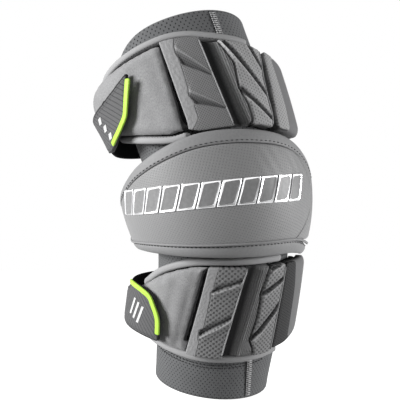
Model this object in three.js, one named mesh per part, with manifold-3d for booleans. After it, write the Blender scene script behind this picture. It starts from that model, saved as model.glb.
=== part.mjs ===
// Lacrosse arm pad, held in the shape of the arm inside it. Millimetres, +Z up along the arm, the elbow
// cap facing -Y. The origin is the middle of the arm at the elbow. A place on the pad is an angle round
// the arm (0 at the front, growing towards +X), a station along it and a height over the sleeve.
import * as THREE from 'three';
import { mergeVertices } from 'three/addons/utils/BufferGeometryUtils.js';
import Module from 'manifold-3d';

const wasm = await Module();
wasm.setup();

// The sleeve: how far it reaches from the elbow, and its outside width and depth. Its top is cut lower on
// the wings' side, by the slant.
const UPPER_REACH = 144;
const TOP_SLANT = 19;
const LOWER_REACH = 165;
const CUFF_WIDTH = 106;
const CUFF_DEPTH = 97;
const ELBOW_WIDTH = 124;
const ELBOW_DEPTH = 115;
const TOP_WIDTH = 130;
const TOP_DEPTH = 121;
const SLEEVE_WALL = 2;
// It is sewn from three tubes: where the upper one and the forearm's meet the elbow's, and what shows of
// the sleeve beyond the panels
const UPPER_SEAM = 50;
const LOWER_SEAM = -40;
const MESH_ABOVE = 21;
const MESH_BELOW = 46;
const ELBOW_ARC = Math.PI * ELBOW_WIDTH / 360;

// The arm's bend: the slope of each half in degrees, and over what length one turns into the other
const SIDEWAYS = { lower: 7.2, upper: -20, softness: 60, middle: 0 };
const LEAN = { lower: -20, upper: 37, softness: 120, middle: 90 };

// Layers, counted outwards from the sleeve, and the gap under each: wider under the broad curved ones
const SEAT_GAP = 0.65;
const LAYER_GAP = 0.45;
const TAB_GAP = 1.7;
const SEAM_GAP = 0.4;
const BASE_THICKNESS = 6;
const WING_THICKNESS = 9;
const STRAP_THICKNESS = 1.8;
const TAB_THICKNESS = 4;
const TRIM_THICKNESS = 1.4;
const RIB_HEIGHT = 1.6;

// Widths of the narrow pieces
const BINDING_WIDTH = 6.4;
const STRAP_WIDTH = 34;
const TRIM_WIDTH = 4;
const RIB_WIDTH = 4.5;
const SLASH_WIDTH = 2.2;
const SLASH_FLOOR = 2.5;

// The two padded panels. Stations run from start to end, measured from the elbow. The wing flares away
// from the arm by flare, and near and far give the panel's edges round the arm as shares of its length.
const UPPER = {
  side: 1, start: 57, end: UPPER_REACH - MESH_ABOVE, flare: 10, plate: 10, outer: 12,
  near: [
    [-100, 0.5], [-84, 0.4], [-64, 0.3], [-39, 0.17], [-23, 0.1], [-11, 0.09], [-3, 0.04], [18, 0],
    [34, -0.04], [52, -0.13], [70, -0.2], [100, -0.26],
  ],
  far: [
    [-100, 0.93], [-77, 1], [-11, 1], [6, 0.96], [21, 0.89], [46, 0.78], [55, 0.71], [75, 0.64], [100, 0.6],
  ],
};
const LOWER = {
  side: -1, start: 42, end: LOWER_REACH - MESH_BELOW, flare: 4.5, plate: 9.5, outer: 8.5,
  near: [[-100, 0.6], [-71, 0.4], [-48, 0.18], [-30, 0.06], [-15, 0.01], [10, 0], [45, 0], [92, 0.04]],
  far: [[-100, 0.97], [-42, 1], [-10, 1.02], [30, 0.98], [55, 0.93], [92, 0.88]],
};

// The plates on each panel: angles of the left and right edge, at the elbow end and at the far end
const UPPER_PLATES = {
  rail: { left: [-10.3, -10.8], right: [-3, -2.8] },
  front_plate: { left: [-2.3, -2.1], right: [18.1, 13.1] },
  side_plate: { left: [31.5, 27.5], right: [47.6, 53.6] },
  outer_plate: { left: [49.6, 55.6], right: [98, 98] },
};
const LOWER_PLATES = {
  rail: { left: [-11.5, -20.5], right: [-4.8, -12.8] },
  front_plate: { left: [-4, -12], right: [16.6, 4.6] },
  side_plate: { left: [33, 25.5], right: [44.5, 44.5] },
  outer_plate: { left: [46.6, 46.6], right: [90, 90] },
};

// Ribs stand on the front plates and slashes cut the side plates. Each row runs from one edge of its
// plate to the other: share of the width and of the length where it starts, then where it ends.
const UPPER_RIBS = [[0.1, 0.88, 0.9, 0.55], [0.1, 0.44, 0.9, 0.24], [0.1, 0.12, 0.9, 0.06]];
const LOWER_RIBS = [[0.1, 0.24, 0.9, 0.12], [0.1, 0.72, 0.9, 0.49]];
const UPPER_SLASHES = [[0.5, 1, 1, 0.7], [0, 0.93, 1, 0.38], [0, 0.5, 1, 0.12]];
const LOWER_SLASHES = [[0, 0.3, 1, 0.08], [0, 0.81, 1, 0.38]];

// Tape sewn along a panel's edges: which edge it follows, between which angles, and how high it stands
const UPPER_BINDINGS = [
  { name: 'top_binding', edge: 'far', from: -98, to: 50, height: 13 },
  { name: 'wing_binding', edge: 'near', from: -92, to: -12, height: 12 },
];
const LOWER_BINDINGS = [
  { name: 'top_binding', edge: 'near', from: -92, to: 46, height: 12 },
  { name: 'bottom_binding', edge: 'far', from: -96, to: 56, height: 11 },
];

// The tabs lie on the wings. Edges are given as the panel's are, in shares of the same length.
const UPPER_TAB = {
  left: [-112, -112], right: [-44, -35],
  near: [[-112, 0.2], [-84, 0.17], [-67, 0.18], [-61, 0.22], [-44, 0.44], [-33, 0.52]],
  far: [[-112, 0.6], [-88, 0.64], [-60, 0.71], [-49, 0.76], [-35, 0.84]],
};
const LOWER_TAB = {
  left: [-106, -106], right: [-48, -41],
  near: [[-106, 0.34], [-80, 0.36], [-73, 0.37], [-48, 0.44], [-41, 0.46]],
  far: [[-106, 0.92], [-76, 0.97], [-58, 0.94], [-41, 0.93]],
};
const TRIM_ROUTE = [[0.12, 0], [0.5, 0], [0.86, 0], [0.98, 0.12], [1, 0.5], [1, 0.97]];

// The straps run from under the tab round the back to the outer plate: angle and share of the length
const UPPER_STRAP = [[-258.5, 0.25], [-180, 0.28], [-140, 0.34], [-112, 0.42], [-97, 0.46], [-62, 0.58]];
const LOWER_STRAP = [[-266.5, 0.57], [-180, 0.62], [-140, 0.66], [-57, 0.66]];
const STRAP_LIFT_OFF = 100;
const STRAP_LANDING = 152;

// The elbow cap: how far it reaches up and down from the elbow, its height over the sleeve at the side,
// in front and lost towards its brow and chin, and the widths of the bands sewn along its edges
const CAP_UP = 58;
const CAP_DOWN = 33;
const CAP_SIDE_HEIGHT = 25;
const CAP_FRONT_RISE = 6;
const CAP_SWAY = 3;
const CAP_FALL = 6;
const CAP_SHELL = 3.2;
const CAP_BAND = 9;
const CAP_HEM = 10.5;
const PIPING_WIDTH = 2.4;
const PIPING_HEIGHT = 1.4;
const CAP_TOP = [
  [-98, -0.02], [-90, 0.2], [-75, 0.5], [-60, 0.71], [-48, 0.84], [-30, 0.95], [-10, 1], [8, 0.97],
  [30, 0.87], [44, 0.78], [56, 0.66], [68, 0.48], [82, 0.24], [94, 0],
];
const CAP_BOTTOM = [
  [-98, -0.3], [-90, -0.6], [-75, -0.92], [-60, -1], [-40, -1], [0, -0.97], [46, -1.02], [60, -1.04],
  [72, -1.02], [84, -0.98], [94, -0.85],
];
const CAP_LEFT = -96;
const CAP_SEAM = [[0, 49], [0.2, 60], [0.45, 68], [0.7, 70], [0.88, 64], [1, 53]];
const CAP_NOTCH = 6;
const CAP_RIGHT = 92;

// Value of a table of [position, value] rows at any position, on a smooth line through the rows
function follow(rows, position) {
  const last = rows.length - 2;
  let index = rows.findIndex((row) => position < row[0]) - 1;
  index = index < 0 ? (position < rows[0][0] ? 0 : last) : index;
  const [[x0, y0], [x1, y1]] = [rows[index], rows[index + 1]];
  const before = rows[Math.max(index - 1, 0)];
  const after = rows[Math.min(index + 2, rows.length - 1)];
  const start = (y1 - before[1]) / (x1 - before[0]);
  const end = (after[1] - y0) / (after[0] - x0);
  const span = x1 - x0;
  const s = THREE.MathUtils.clamp((position - x0) / span, 0, 1);
  const [s2, s3] = [s * s, s * s * s];
  return (2 * s3 - 3 * s2 + 1) * y0 + (s3 - 2 * s2 + s) * span * start
    + (3 * s2 - 2 * s3) * y1 + (s3 - s2) * span * end;
}

// Sideways distance of the arm's centre line at a station, for two slopes that meet in a soft bend
function drift(station, { lower, upper, softness, middle }) {
  const [low, high] = [lower, upper].map((angle) => Math.tan(THREE.MathUtils.degToRad(angle)));
  const ramp = (z) => (z - middle + Math.hypot(z - middle, softness)) / 2;
  return low * station + (high - low) * (ramp(station) - ramp(0));
}

// Half of a size that has one value at the cuff, one at the elbow and one at the top
function halfSize(station, cuff, elbow, top) {
  const share = station > 0 ? station / UPPER_REACH : station / LOWER_REACH;
  const [step, curve] = [(top - cuff) / 2, (top + cuff) / 2 - elbow];
  return (elbow + step * share + curve * share * share) / 2;
}

function centre(station) {
  return new THREE.Vector3(drift(station, SIDEWAYS), drift(station, LEAN), station);
}

// A point on the pad from its angle in degrees, station and height over the sleeve
function onArm(angle, station, height) {
  const along = centre(station + 0.5).sub(centre(station - 0.5)).normalize();
  const front = new THREE.Vector3(0, -1, 0).projectOnPlane(along).normalize();
  const side = new THREE.Vector3().crossVectors(along, front);
  const turn = THREE.MathUtils.degToRad(angle);
  const reachSide = halfSize(station, CUFF_WIDTH, ELBOW_WIDTH, TOP_WIDTH) + height;
  const reachFront = halfSize(station, CUFF_DEPTH, ELBOW_DEPTH, TOP_DEPTH) + height;
  return centre(station).addScaledVector(side, reachSide * Math.sin(turn))
    .addScaledVector(front, reachFront * Math.cos(turn));
}

// Closed body between an outer and an inner surface over a grid. surface(u, v, outer) gives its points.
function shell(cols, rows, surface, ring = false) {
  const across = ring ? cols : cols + 1;
  const points = [];
  for (const outer of [true, false]) {
    for (let j = 0; j <= rows; j++) {
      for (let i = 0; i < across; i++) points.push(surface(i / cols, j / rows, outer));
    }
  }
  const out = (i, j) => j * across + (i % across);
  const inn = (i, j) => (rows + 1) * across + out(i, j);
  const faces = [];
  const quad = (a, b, c, d) => faces.push(a, b, c, a, c, d);
  for (let i = 0; i < cols; i++) {
    for (let j = 0; j < rows; j++) {
      quad(out(i, j), out(i + 1, j), out(i + 1, j + 1), out(i, j + 1));
      quad(inn(i, j), inn(i, j + 1), inn(i + 1, j + 1), inn(i + 1, j));
    }
    quad(inn(i, 0), inn(i + 1, 0), out(i + 1, 0), out(i, 0));
    quad(out(i, rows), out(i + 1, rows), inn(i + 1, rows), inn(i, rows));
  }
  for (let j = 0; j < rows && !ring; j++) {
    quad(inn(0, j), out(0, j), out(0, j + 1), inn(0, j + 1));
    quad(out(cols, j), inn(cols, j), inn(cols, j + 1), out(cols, j + 1));
  }
  return facingOut(points, faces);
}

function facingOut(points, faces) {
  let volume = 0;
  for (let k = 0; k < faces.length; k += 3) {
    const [a, b, c] = [points[faces[k]], points[faces[k + 1]], points[faces[k + 2]]];
    volume += a.dot(new THREE.Vector3().crossVectors(b, c));
  }
  const geometry = new THREE.BufferGeometry().setFromPoints(points);
  geometry.setIndex(volume > 0 ? faces : faces.reverse());
  return geometry;
}

const stepsBetween = (from, to, count) => Array.from(
  { length: count + 1 }, (_, k) => THREE.MathUtils.lerp(from, to, k / count));

// Even steps from 0 to 1 drawn towards both ends, where a pad's edges turn over
const ease = (share) => (share + (1 - Math.cos(Math.PI * share)) / 2) / 2;

// Height of a pad at a place in it, as a share of its thickness: full in the middle, less at the edges
function crown(u, v, shoulder) {
  const [across, along] = [u, v].map((share) => 1 - Math.abs(2 * share - 1) ** 6);
  return shoulder + (1 - shoulder) * across * along;
}

// Region of the arm between two angles and two edges. Returns the angle and station at shares of it.
function region({ left, right, near, far }) {
  return (u, v) => {
    const angle = THREE.MathUtils.lerp(
      THREE.MathUtils.lerp(left[0], left[1], v), THREE.MathUtils.lerp(right[0], right[1], v), u);
    return [angle, THREE.MathUtils.lerp(near(angle), far(angle), v)];
  };
}

// Pad that fills a region from its floor to its top, both heights that may change round the arm
function pad(place, cols, rows, { floor, top, shoulder }) {
  return shell(cols, rows, (i, j, outer) => {
    const [u, v] = [ease(i), ease(j)];
    const [angle, station] = place(u, v);
    const low = floor(angle, station);
    const rise = (top(angle, station) - low) * crown(u, v, shoulder);
    return onArm(angle, station, outer ? low + rise : low);
  });
}

// Strip of one width along a route of [angle, station, height] points, lengthened at both ends by overrun
function strip(route, width, steps, { top, cols = 4, overrun = 0, round = 0.55 }) {
  const path = new THREE.CatmullRomCurve3(route.map((point) => new THREE.Vector3(...point)));
  const spotAt = (share) => path.getPoint(THREE.MathUtils.clamp(share, 0, 1));
  const place = ({ x, y, z }) => onArm(x, y, z);
  return shell(cols, steps, (u, v, outer) => {
    const { x, y, z } = spotAt(v);
    const travel = place(spotAt(v + 0.01)).sub(place(spotAt(v - 0.01))).normalize();
    const perDegree = onArm(x + 0.5, y, z).sub(onArm(x - 0.5, y, z));
    const perMillimetre = onArm(x, y + 0.5, z).sub(onArm(x, y - 0.5, z));
    const outward = new THREE.Vector3().crossVectors(perDegree, perMillimetre);
    const sideways = new THREE.Vector3().crossVectors(travel, outward).normalize();
    const run = v === 0 ? -overrun : (v === 1 ? overrun : 0);
    const move = sideways.multiplyScalar((u - 0.5) * width).addScaledVector(travel, run);
    const turned = move.dot(perDegree) / perDegree.lengthSq();
    const moved = move.dot(perMillimetre) / perMillimetre.lengthSq();
    const edge = 1 - (1 - round) * Math.abs(2 * u - 1) ** 3;
    return onArm(x + turned, y + moved, outer ? z + top * edge : z);
  });
}

function toManifold(geometry) {
  const bare = geometry.clone();
  bare.deleteAttribute('normal');
  const merged = mergeVertices(bare, 1e-5);
  return new wasm.Manifold(new wasm.Mesh({
    numProp: 3,
    vertProperties: new Float32Array(merged.attributes.position.array),
    triVerts: new Uint32Array(merged.index.array),
  }));
}

function fromManifold(solid) {
  const { vertProperties, triVerts } = solid.getMesh();
  const geometry = new THREE.BufferGeometry();
  geometry.setAttribute('position', new THREE.BufferAttribute(new Float32Array(vertProperties), 3));
  geometry.setIndex(new THREE.BufferAttribute(new Uint32Array(triVerts), 1));
  return geometry;
}

const FINISHES = {
  sleeve: { color: 0x63666a, roughness: 0.95 },
  base: { color: 0x2b2c2e, roughness: 0.95 },
  knit: { color: 0xa9abae, roughness: 0.95 },
  mesh: { color: 0x707274, roughness: 0.9 },
  smooth: { color: 0xb9bbbd, roughness: 0.7 },
  tape: { color: 0xa4a6a8, roughness: 0.85 },
  webbing: { color: 0x151515, roughness: 0.9 },
  tab: { color: 0x6b6d6f, roughness: 0.8 },
  trim: { color: 0xb4f03c, roughness: 0.6 },
  cap: { color: 0x8f9193, roughness: 0.6 },
};

const armPad = new THREE.Group();
armPad.name = 'lacrosse_arm_pad';

function addPiece(name, geometry, finish) {
  geometry.computeVertexNormals();
  const material = new THREE.MeshStandardMaterial({ metalness: 0, ...FINISHES[finish] });
  const mesh = new THREE.Mesh(geometry, material);
  mesh.name = name;
  armPad.add(mesh);
}

// Sleeve: three tubes in line, open at both ends. The top one's end is cut on the slant round its left.
function topEnd(angle) {
  const towardsWing = Math.max(0, -Math.sin(THREE.MathUtils.degToRad(angle)));
  return UPPER_REACH - TOP_SLANT * towardsWing ** 4;
}

function addTube(name, from, to, rows) {
  const wall = (u, v, outer) => onArm(
    360 * u, THREE.MathUtils.lerp(from, to(360 * u), v), outer ? 0 : -SLEEVE_WALL);
  addPiece(name, shell(28, rows, wall, true), 'sleeve');
}

addTube('sleeve_forearm', -LOWER_REACH, () => LOWER_SEAM - SEAM_GAP / 2, 6);
addTube('sleeve_elbow', LOWER_SEAM + SEAM_GAP / 2, () => UPPER_SEAM - SEAM_GAP / 2, 5);
addTube('sleeve_upper', UPPER_SEAM + SEAM_GAP / 2, topEnd, 5);

// Share of the flare that a panel has at an angle: none at its rail, all of it at the wing's outer edge
const swell = (angle) => THREE.MathUtils.smoothstep(-angle, 20, 92);

// Heights of a panel's layers at an angle
function layersOf(panel) {
  const baseTop = (angle) => SEAT_GAP + BASE_THICKNESS + 0.3 * panel.flare * swell(angle);
  const wingTop = (angle) => baseTop(angle) + LAYER_GAP + WING_THICKNESS + 0.7 * panel.flare * swell(angle);
  return { baseTop, wingTop };
}

// One padded panel with its plates, wing, bindings, strap and tab
function addPanel(prefix, panel, plates, { ribs, slashes, tab, strap, bindings }) {
  const station = (share) => panel.side * (panel.start + share * (panel.end - panel.start));
  const near = (angle) => station(follow(panel.near, angle));
  const far = (angle) => station(follow(panel.far, angle));
  const { baseTop, wingTop } = layersOf(panel);
  const onBase = (angle) => baseTop(angle) + LAYER_GAP;
  const [first, last] = [panel.near[0][0], panel.near.at(-1)[0]];

  const base = region({ left: [first, first], right: [last, last], near, far });
  addPiece(`${prefix}_base`, pad(base, 18, 5, {
    floor: () => SEAT_GAP, top: baseTop, shoulder: 0.7,
  }), 'base');

  const wing = region({
    left: [first, first], right: plates.rail.left.map((angle) => angle - SEAM_GAP / ELBOW_ARC), near, far,
  });
  addPiece(`${prefix}_wing`, pad(wing, 11, 7, { floor: onBase, top: wingTop, shoulder: 0.35 }), 'knit');

  const plateTop = (angle) => onBase(angle) + panel.plate;
  const plate = (name) => region({ ...plates[name], near, far });
  addPiece(`${prefix}_rail`, pad(plate('rail'), 3, 7, {
    floor: onBase, top: plateTop, shoulder: 0.8,
  }), 'smooth');

  const front = plate('front_plate');
  const ridge = ([u0, v0, u1, v1]) => strip([front(u0, v0), front(u1, v1)].map(
    ([angle, t]) => [angle, t, plateTop(angle) - RIB_HEIGHT]), RIB_WIDTH, 3, { top: 2 * RIB_HEIGHT });
  const frontBody = pad(front, 4, 8, { floor: onBase, top: plateTop, shoulder: 0.75 });
  addPiece(`${prefix}_front_plate`, fromManifold(
    ribs.reduce((body, row) => body.add(toManifold(ridge(row))), toManifold(frontBody))), 'mesh');

  const side = plate('side_plate');
  const slash = ([u0, v0, u1, v1]) => strip([side(u0, v0), side(u1, v1)].map(
    ([angle, t]) => [angle, t, onBase(angle) + SLASH_FLOOR]), SLASH_WIDTH, 3,
    { top: 2 * panel.plate, overrun: 4, round: 1 });
  const sideBody = pad(side, 4, 8, { floor: onBase, top: plateTop, shoulder: 0.75 });
  addPiece(`${prefix}_side_plate`, fromManifold(
    slashes.reduce((body, row) => body.subtract(toManifold(slash(row))), toManifold(sideBody))), 'mesh');

  const outerTop = (angle) => onBase(angle) + panel.outer;
  addPiece(`${prefix}_outer_plate`, pad(plate('outer_plate'), 6, 6, {
    floor: onBase, top: outerTop, shoulder: 0.7,
  }), 'mesh');

  for (const { name, edge, from, to, height } of bindings) {
    const table = edge === 'near' ? near : far;
    const away = edge === 'near' ? -panel.side : panel.side;
    const route = stepsBetween(from, to, 14).map((angle) => {
      const slant = (table(angle + 1) - table(angle - 1)) / (2 * ELBOW_ARC);
      return [angle, table(angle) + away * (BINDING_WIDTH / 2 + SEAM_GAP) * Math.hypot(1, slant), SEAT_GAP];
    });
    addPiece(`${prefix}_${name}`, strip(route, BINDING_WIDTH, 14, { top: height, round: 0.7 }), 'tape');
  }

  const lift = (angle) => 1 - THREE.MathUtils.smoothstep(-angle, STRAP_LIFT_OFF, STRAP_LANDING);
  const strapRoute = stepsBetween(strap.at(-1)[0], strap[0][0], 28).map((angle) => [
    angle, station(follow(strap, angle)), SEAT_GAP + lift(angle) * wingTop(angle)]);
  addPiece(`${prefix}_strap`, strip(strapRoute, STRAP_WIDTH, 28, {
    top: STRAP_THICKNESS, cols: 2, round: 1,
  }), 'webbing');

  const onStrap = (angle) => wingTop(angle) + STRAP_THICKNESS + TAB_GAP;
  const tabTop = (angle) => onStrap(angle) + TAB_THICKNESS;
  const tabPlace = region({
    ...tab,
    near: (angle) => station(follow(tab.near, angle)),
    far: (angle) => station(follow(tab.far, angle)),
  });
  addPiece(`${prefix}_tab`, pad(tabPlace, 9, 4, { floor: onStrap, top: tabTop, shoulder: 0.8 }), 'tab');
  const trimRoute = TRIM_ROUTE.map(([u, v]) => tabPlace(u, v)).map(
    ([angle, t]) => [angle, t, tabTop(angle) + LAYER_GAP]);
  addPiece(`${prefix}_tab_trim`, strip(trimRoute, TRIM_WIDTH, 14, { top: TRIM_THICKNESS }), 'trim');
}

addPanel('upper', UPPER, UPPER_PLATES, {
  ribs: UPPER_RIBS, slashes: UPPER_SLASHES, tab: UPPER_TAB, strap: UPPER_STRAP, bindings: UPPER_BINDINGS,
});
addPanel('lower', LOWER, LOWER_PLATES, {
  ribs: LOWER_RIBS, slashes: LOWER_SLASHES, tab: LOWER_TAB, strap: LOWER_STRAP, bindings: LOWER_BINDINGS,
});

// Elbow cap: a foam liner on the sleeve, and over it the moulded face, bands and side strip
const capTop = (angle) => CAP_UP * follow(CAP_TOP, angle);
const capBottom = (angle) => CAP_DOWN * follow(CAP_BOTTOM, angle);
const capMiddle = (CAP_UP - CAP_DOWN) / 2;
const capHalf = (CAP_UP + CAP_DOWN) / 2;

function capHeight(angle, station) {
  const turn = THREE.MathUtils.degToRad(angle);
  const fall = CAP_FALL * ((station - capMiddle) / capHalf) ** 2;
  return CAP_SIDE_HEIGHT + CAP_FRONT_RISE * Math.cos(turn) - CAP_SWAY * Math.sin(turn) - fall;
}

const capInside = (angle, station) => capHeight(angle, station) - CAP_SHELL;
const linerTop = (angle, station) => capInside(angle, station) - SEAT_GAP;
const bandEdge = (angle) => capTop(angle) - CAP_BAND * (1 - 0.3 * Math.abs(angle / CAP_LEFT) ** 2);
const hemEdge = (angle) => capBottom(angle) + CAP_HEM * (1 - 0.6 * Math.abs(angle / CAP_LEFT) ** 3);
const capPiece = { floor: capInside, top: capHeight, shoulder: 0.6 };

const liner = region({
  left: [CAP_LEFT, CAP_LEFT], right: [CAP_RIGHT, CAP_RIGHT],
  near: (angle) => capBottom(angle) + 1, far: (angle) => capTop(angle) - 1,
});
addPiece('cap_liner', pad(liner, 20, 7, { floor: () => SEAT_GAP, top: linerTop, shoulder: 0.85 }), 'base');

// Between the bands the face meets the side strip at a curved seam: its angle at a share of the height
const seamAngle = (v) => follow(CAP_SEAM, v);
const notch = (angle) => CAP_NOTCH * THREE.MathUtils.smoothstep(angle, seamAngle(0), CAP_RIGHT);
const betweenBands = (angle, v) => THREE.MathUtils.lerp(
  hemEdge(angle) + SEAM_GAP + notch(angle), bandEdge(angle) - SEAM_GAP, v);
const face = (u, v) => {
  const angle = THREE.MathUtils.lerp(CAP_LEFT, seamAngle(v), u);
  return [angle, betweenBands(angle, v)];
};
addPiece('cap_face', pad(face, 18, 8, capPiece), 'cap');

const sideStrip = (u, v) => {
  const angle = THREE.MathUtils.lerp(seamAngle(v) + SEAM_GAP / ELBOW_ARC, CAP_RIGHT, u);
  return [angle, betweenBands(angle, v)];
};
addPiece('cap_side_strip', pad(sideStrip, 4, 8, capPiece), 'cap');

const wholeCap = { left: [CAP_LEFT, CAP_LEFT], right: [CAP_RIGHT, CAP_RIGHT] };
const band = region({ ...wholeCap, near: bandEdge, far: capTop });
addPiece('cap_top_band', pad(band, 18, 3, capPiece), 'cap');

const hem = region({ ...wholeCap, near: capBottom, far: hemEdge });
addPiece('cap_bottom_band', pad(hem, 18, 3, { ...capPiece, shoulder: 0.5 }), 'cap');

const pipingRoute = stepsBetween(CAP_LEFT + 4, CAP_RIGHT - 2, 18).map((angle) => [
  angle, hemEdge(angle), capHeight(angle, hemEdge(angle)) + LAYER_GAP]);
addPiece('cap_piping', strip(pipingRoute, PIPING_WIDTH, 18, { top: PIPING_HEIGHT, cols: 2 }), 'tape');

export default armPad;
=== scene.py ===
import logging
import math
from collections.abc import Callable, Sequence
from dataclasses import dataclass
from enum import Enum

import bmesh
import bpy
import numpy as np
from mathutils import Matrix, Vector


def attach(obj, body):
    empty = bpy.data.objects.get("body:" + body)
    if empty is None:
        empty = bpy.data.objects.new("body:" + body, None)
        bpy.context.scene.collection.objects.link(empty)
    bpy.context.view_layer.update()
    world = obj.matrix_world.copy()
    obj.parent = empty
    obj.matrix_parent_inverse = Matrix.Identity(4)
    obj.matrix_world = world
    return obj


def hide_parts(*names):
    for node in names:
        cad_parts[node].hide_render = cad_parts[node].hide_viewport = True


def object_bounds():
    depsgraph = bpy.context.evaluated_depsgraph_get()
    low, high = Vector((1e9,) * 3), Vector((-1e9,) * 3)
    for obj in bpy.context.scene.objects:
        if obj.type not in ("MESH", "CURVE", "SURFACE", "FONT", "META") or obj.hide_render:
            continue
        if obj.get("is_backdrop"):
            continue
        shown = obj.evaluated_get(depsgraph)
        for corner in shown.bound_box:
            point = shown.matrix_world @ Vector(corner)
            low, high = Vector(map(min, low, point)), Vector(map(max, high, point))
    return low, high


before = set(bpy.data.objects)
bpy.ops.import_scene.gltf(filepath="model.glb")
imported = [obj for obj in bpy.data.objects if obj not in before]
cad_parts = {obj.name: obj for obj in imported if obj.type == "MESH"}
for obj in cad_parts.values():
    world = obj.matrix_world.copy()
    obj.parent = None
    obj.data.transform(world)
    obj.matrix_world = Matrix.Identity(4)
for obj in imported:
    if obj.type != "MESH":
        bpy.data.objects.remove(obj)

log = logging.getLogger("arm_pad")

# Shapes are worked out in millimetres and written to Blender in metres
MM = 0.001
ROOT = "root"
PATTERN_MAP = "pattern"
SHADE_LAYER = "shade"

# Rounds after which a point's station and its height have settled
STATION_ROUNDS = 12
HEIGHT_ROUNDS = 6

# How many points a long seam, a cap seam and a short line are laid through
LONG_SEAM = 29
CAP_SEAM = 41
SHORT_LINE = 9

# Colour of the painted shade in the deepest hollows, and how much lighter a painted highlight on a lit edge
# is than its cloth
PAINTED_SHADE_COLOUR = (0.008, 0.008, 0.009)
HIGHLIGHT_GAIN = 2.2

# A bar's face lies this share of its thickness below its rim, whose edges are cut off by this share of
# its width; edges that turn by more than SHARP_EDGE degrees stay sharp
BAR_SINK = 0.45
BAR_BEVEL = 0.15
BAR_CUTS = 4
SHARP_EDGE = 30

# A degree round the tab is longer than one round the sleeve by this factor
TAB_SPREAD = 1.35

Array = np.ndarray
Row = tuple[float, float]
Rows = Sequence[Row]
Line = Callable[[Array], Array]
Layer = Callable[[Array, Array], Array]
Route = Callable[[Array], Array]


def follow(rows: Rows, at: Array) -> Array:
    """Reads a table of (position, value) rows at any position, on a smooth line through the rows.

    Args:
        rows: The table, by rising position.
        at: Positions to read; past the ends the first or last value holds.

    Returns:
        The values, in the shape of at.
    """
    places, values = np.array(rows, float).T
    spot = np.clip(at, places[0], places[-1])
    k = np.clip(np.searchsorted(places, spot, side="right") - 1, 0, len(places) - 2)
    before, after = np.maximum(k - 1, 0), np.minimum(k + 2, len(places) - 1)
    span = places[k + 1] - places[k]
    start = (values[k + 1] - values[before]) / (places[k + 1] - places[before])
    end = (values[after] - values[k]) / (places[after] - places[k])
    s = (spot - places[k]) / span
    return (
        (2 * s**3 - 3 * s**2 + 1) * values[k]
        + (s**3 - 2 * s**2 + s) * span * start
        + (3 * s**2 - 2 * s**3) * values[k + 1]
        + (s**3 - s**2) * span * end
    )


def smoothstep(at: Array, low: float, high: float) -> Array:
    """Rises smoothly from 0 at low to 1 at high."""
    s = np.clip((at - low) / (high - low), 0, 1)
    return s * s * (3 - 2 * s)


def hump(at: Array, middle: float, width: float) -> Array:
    """A round hump of height 1 that is about two widths across."""
    return np.exp(-(((at - middle) / width) ** 2))


def unit(vectors: Array) -> Array:
    """Scales each vector to a length of 1."""
    return vectors / np.linalg.norm(vectors, axis=-1, keepdims=True)


def dot(a: Array, b: Array) -> Array:
    """Scalar product of each pair of vectors."""
    return np.sum(a * b, axis=-1)


@dataclass(frozen=True)
class Bend:
    """One bend of the arm's centre line.

    Lower and upper are the slopes of its halves in degrees; one turns into the other over softness
    millimetres, about the station middle.
    """

    lower: float
    upper: float
    softness: float
    middle: float

    def drift(self, station: Array) -> Array:
        """Distance of the centre line from the axis at each station."""
        low, high = math.tan(math.radians(self.lower)), math.tan(math.radians(self.upper))
        return low * station + (high - low) * (self._ramp(station) - self._ramp(0.0))

    def _ramp(self, station: Array) -> Array:
        """A straight slope that starts softly at the bend's middle."""
        return (station - self.middle + np.hypot(station - self.middle, self.softness)) / 2


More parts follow.
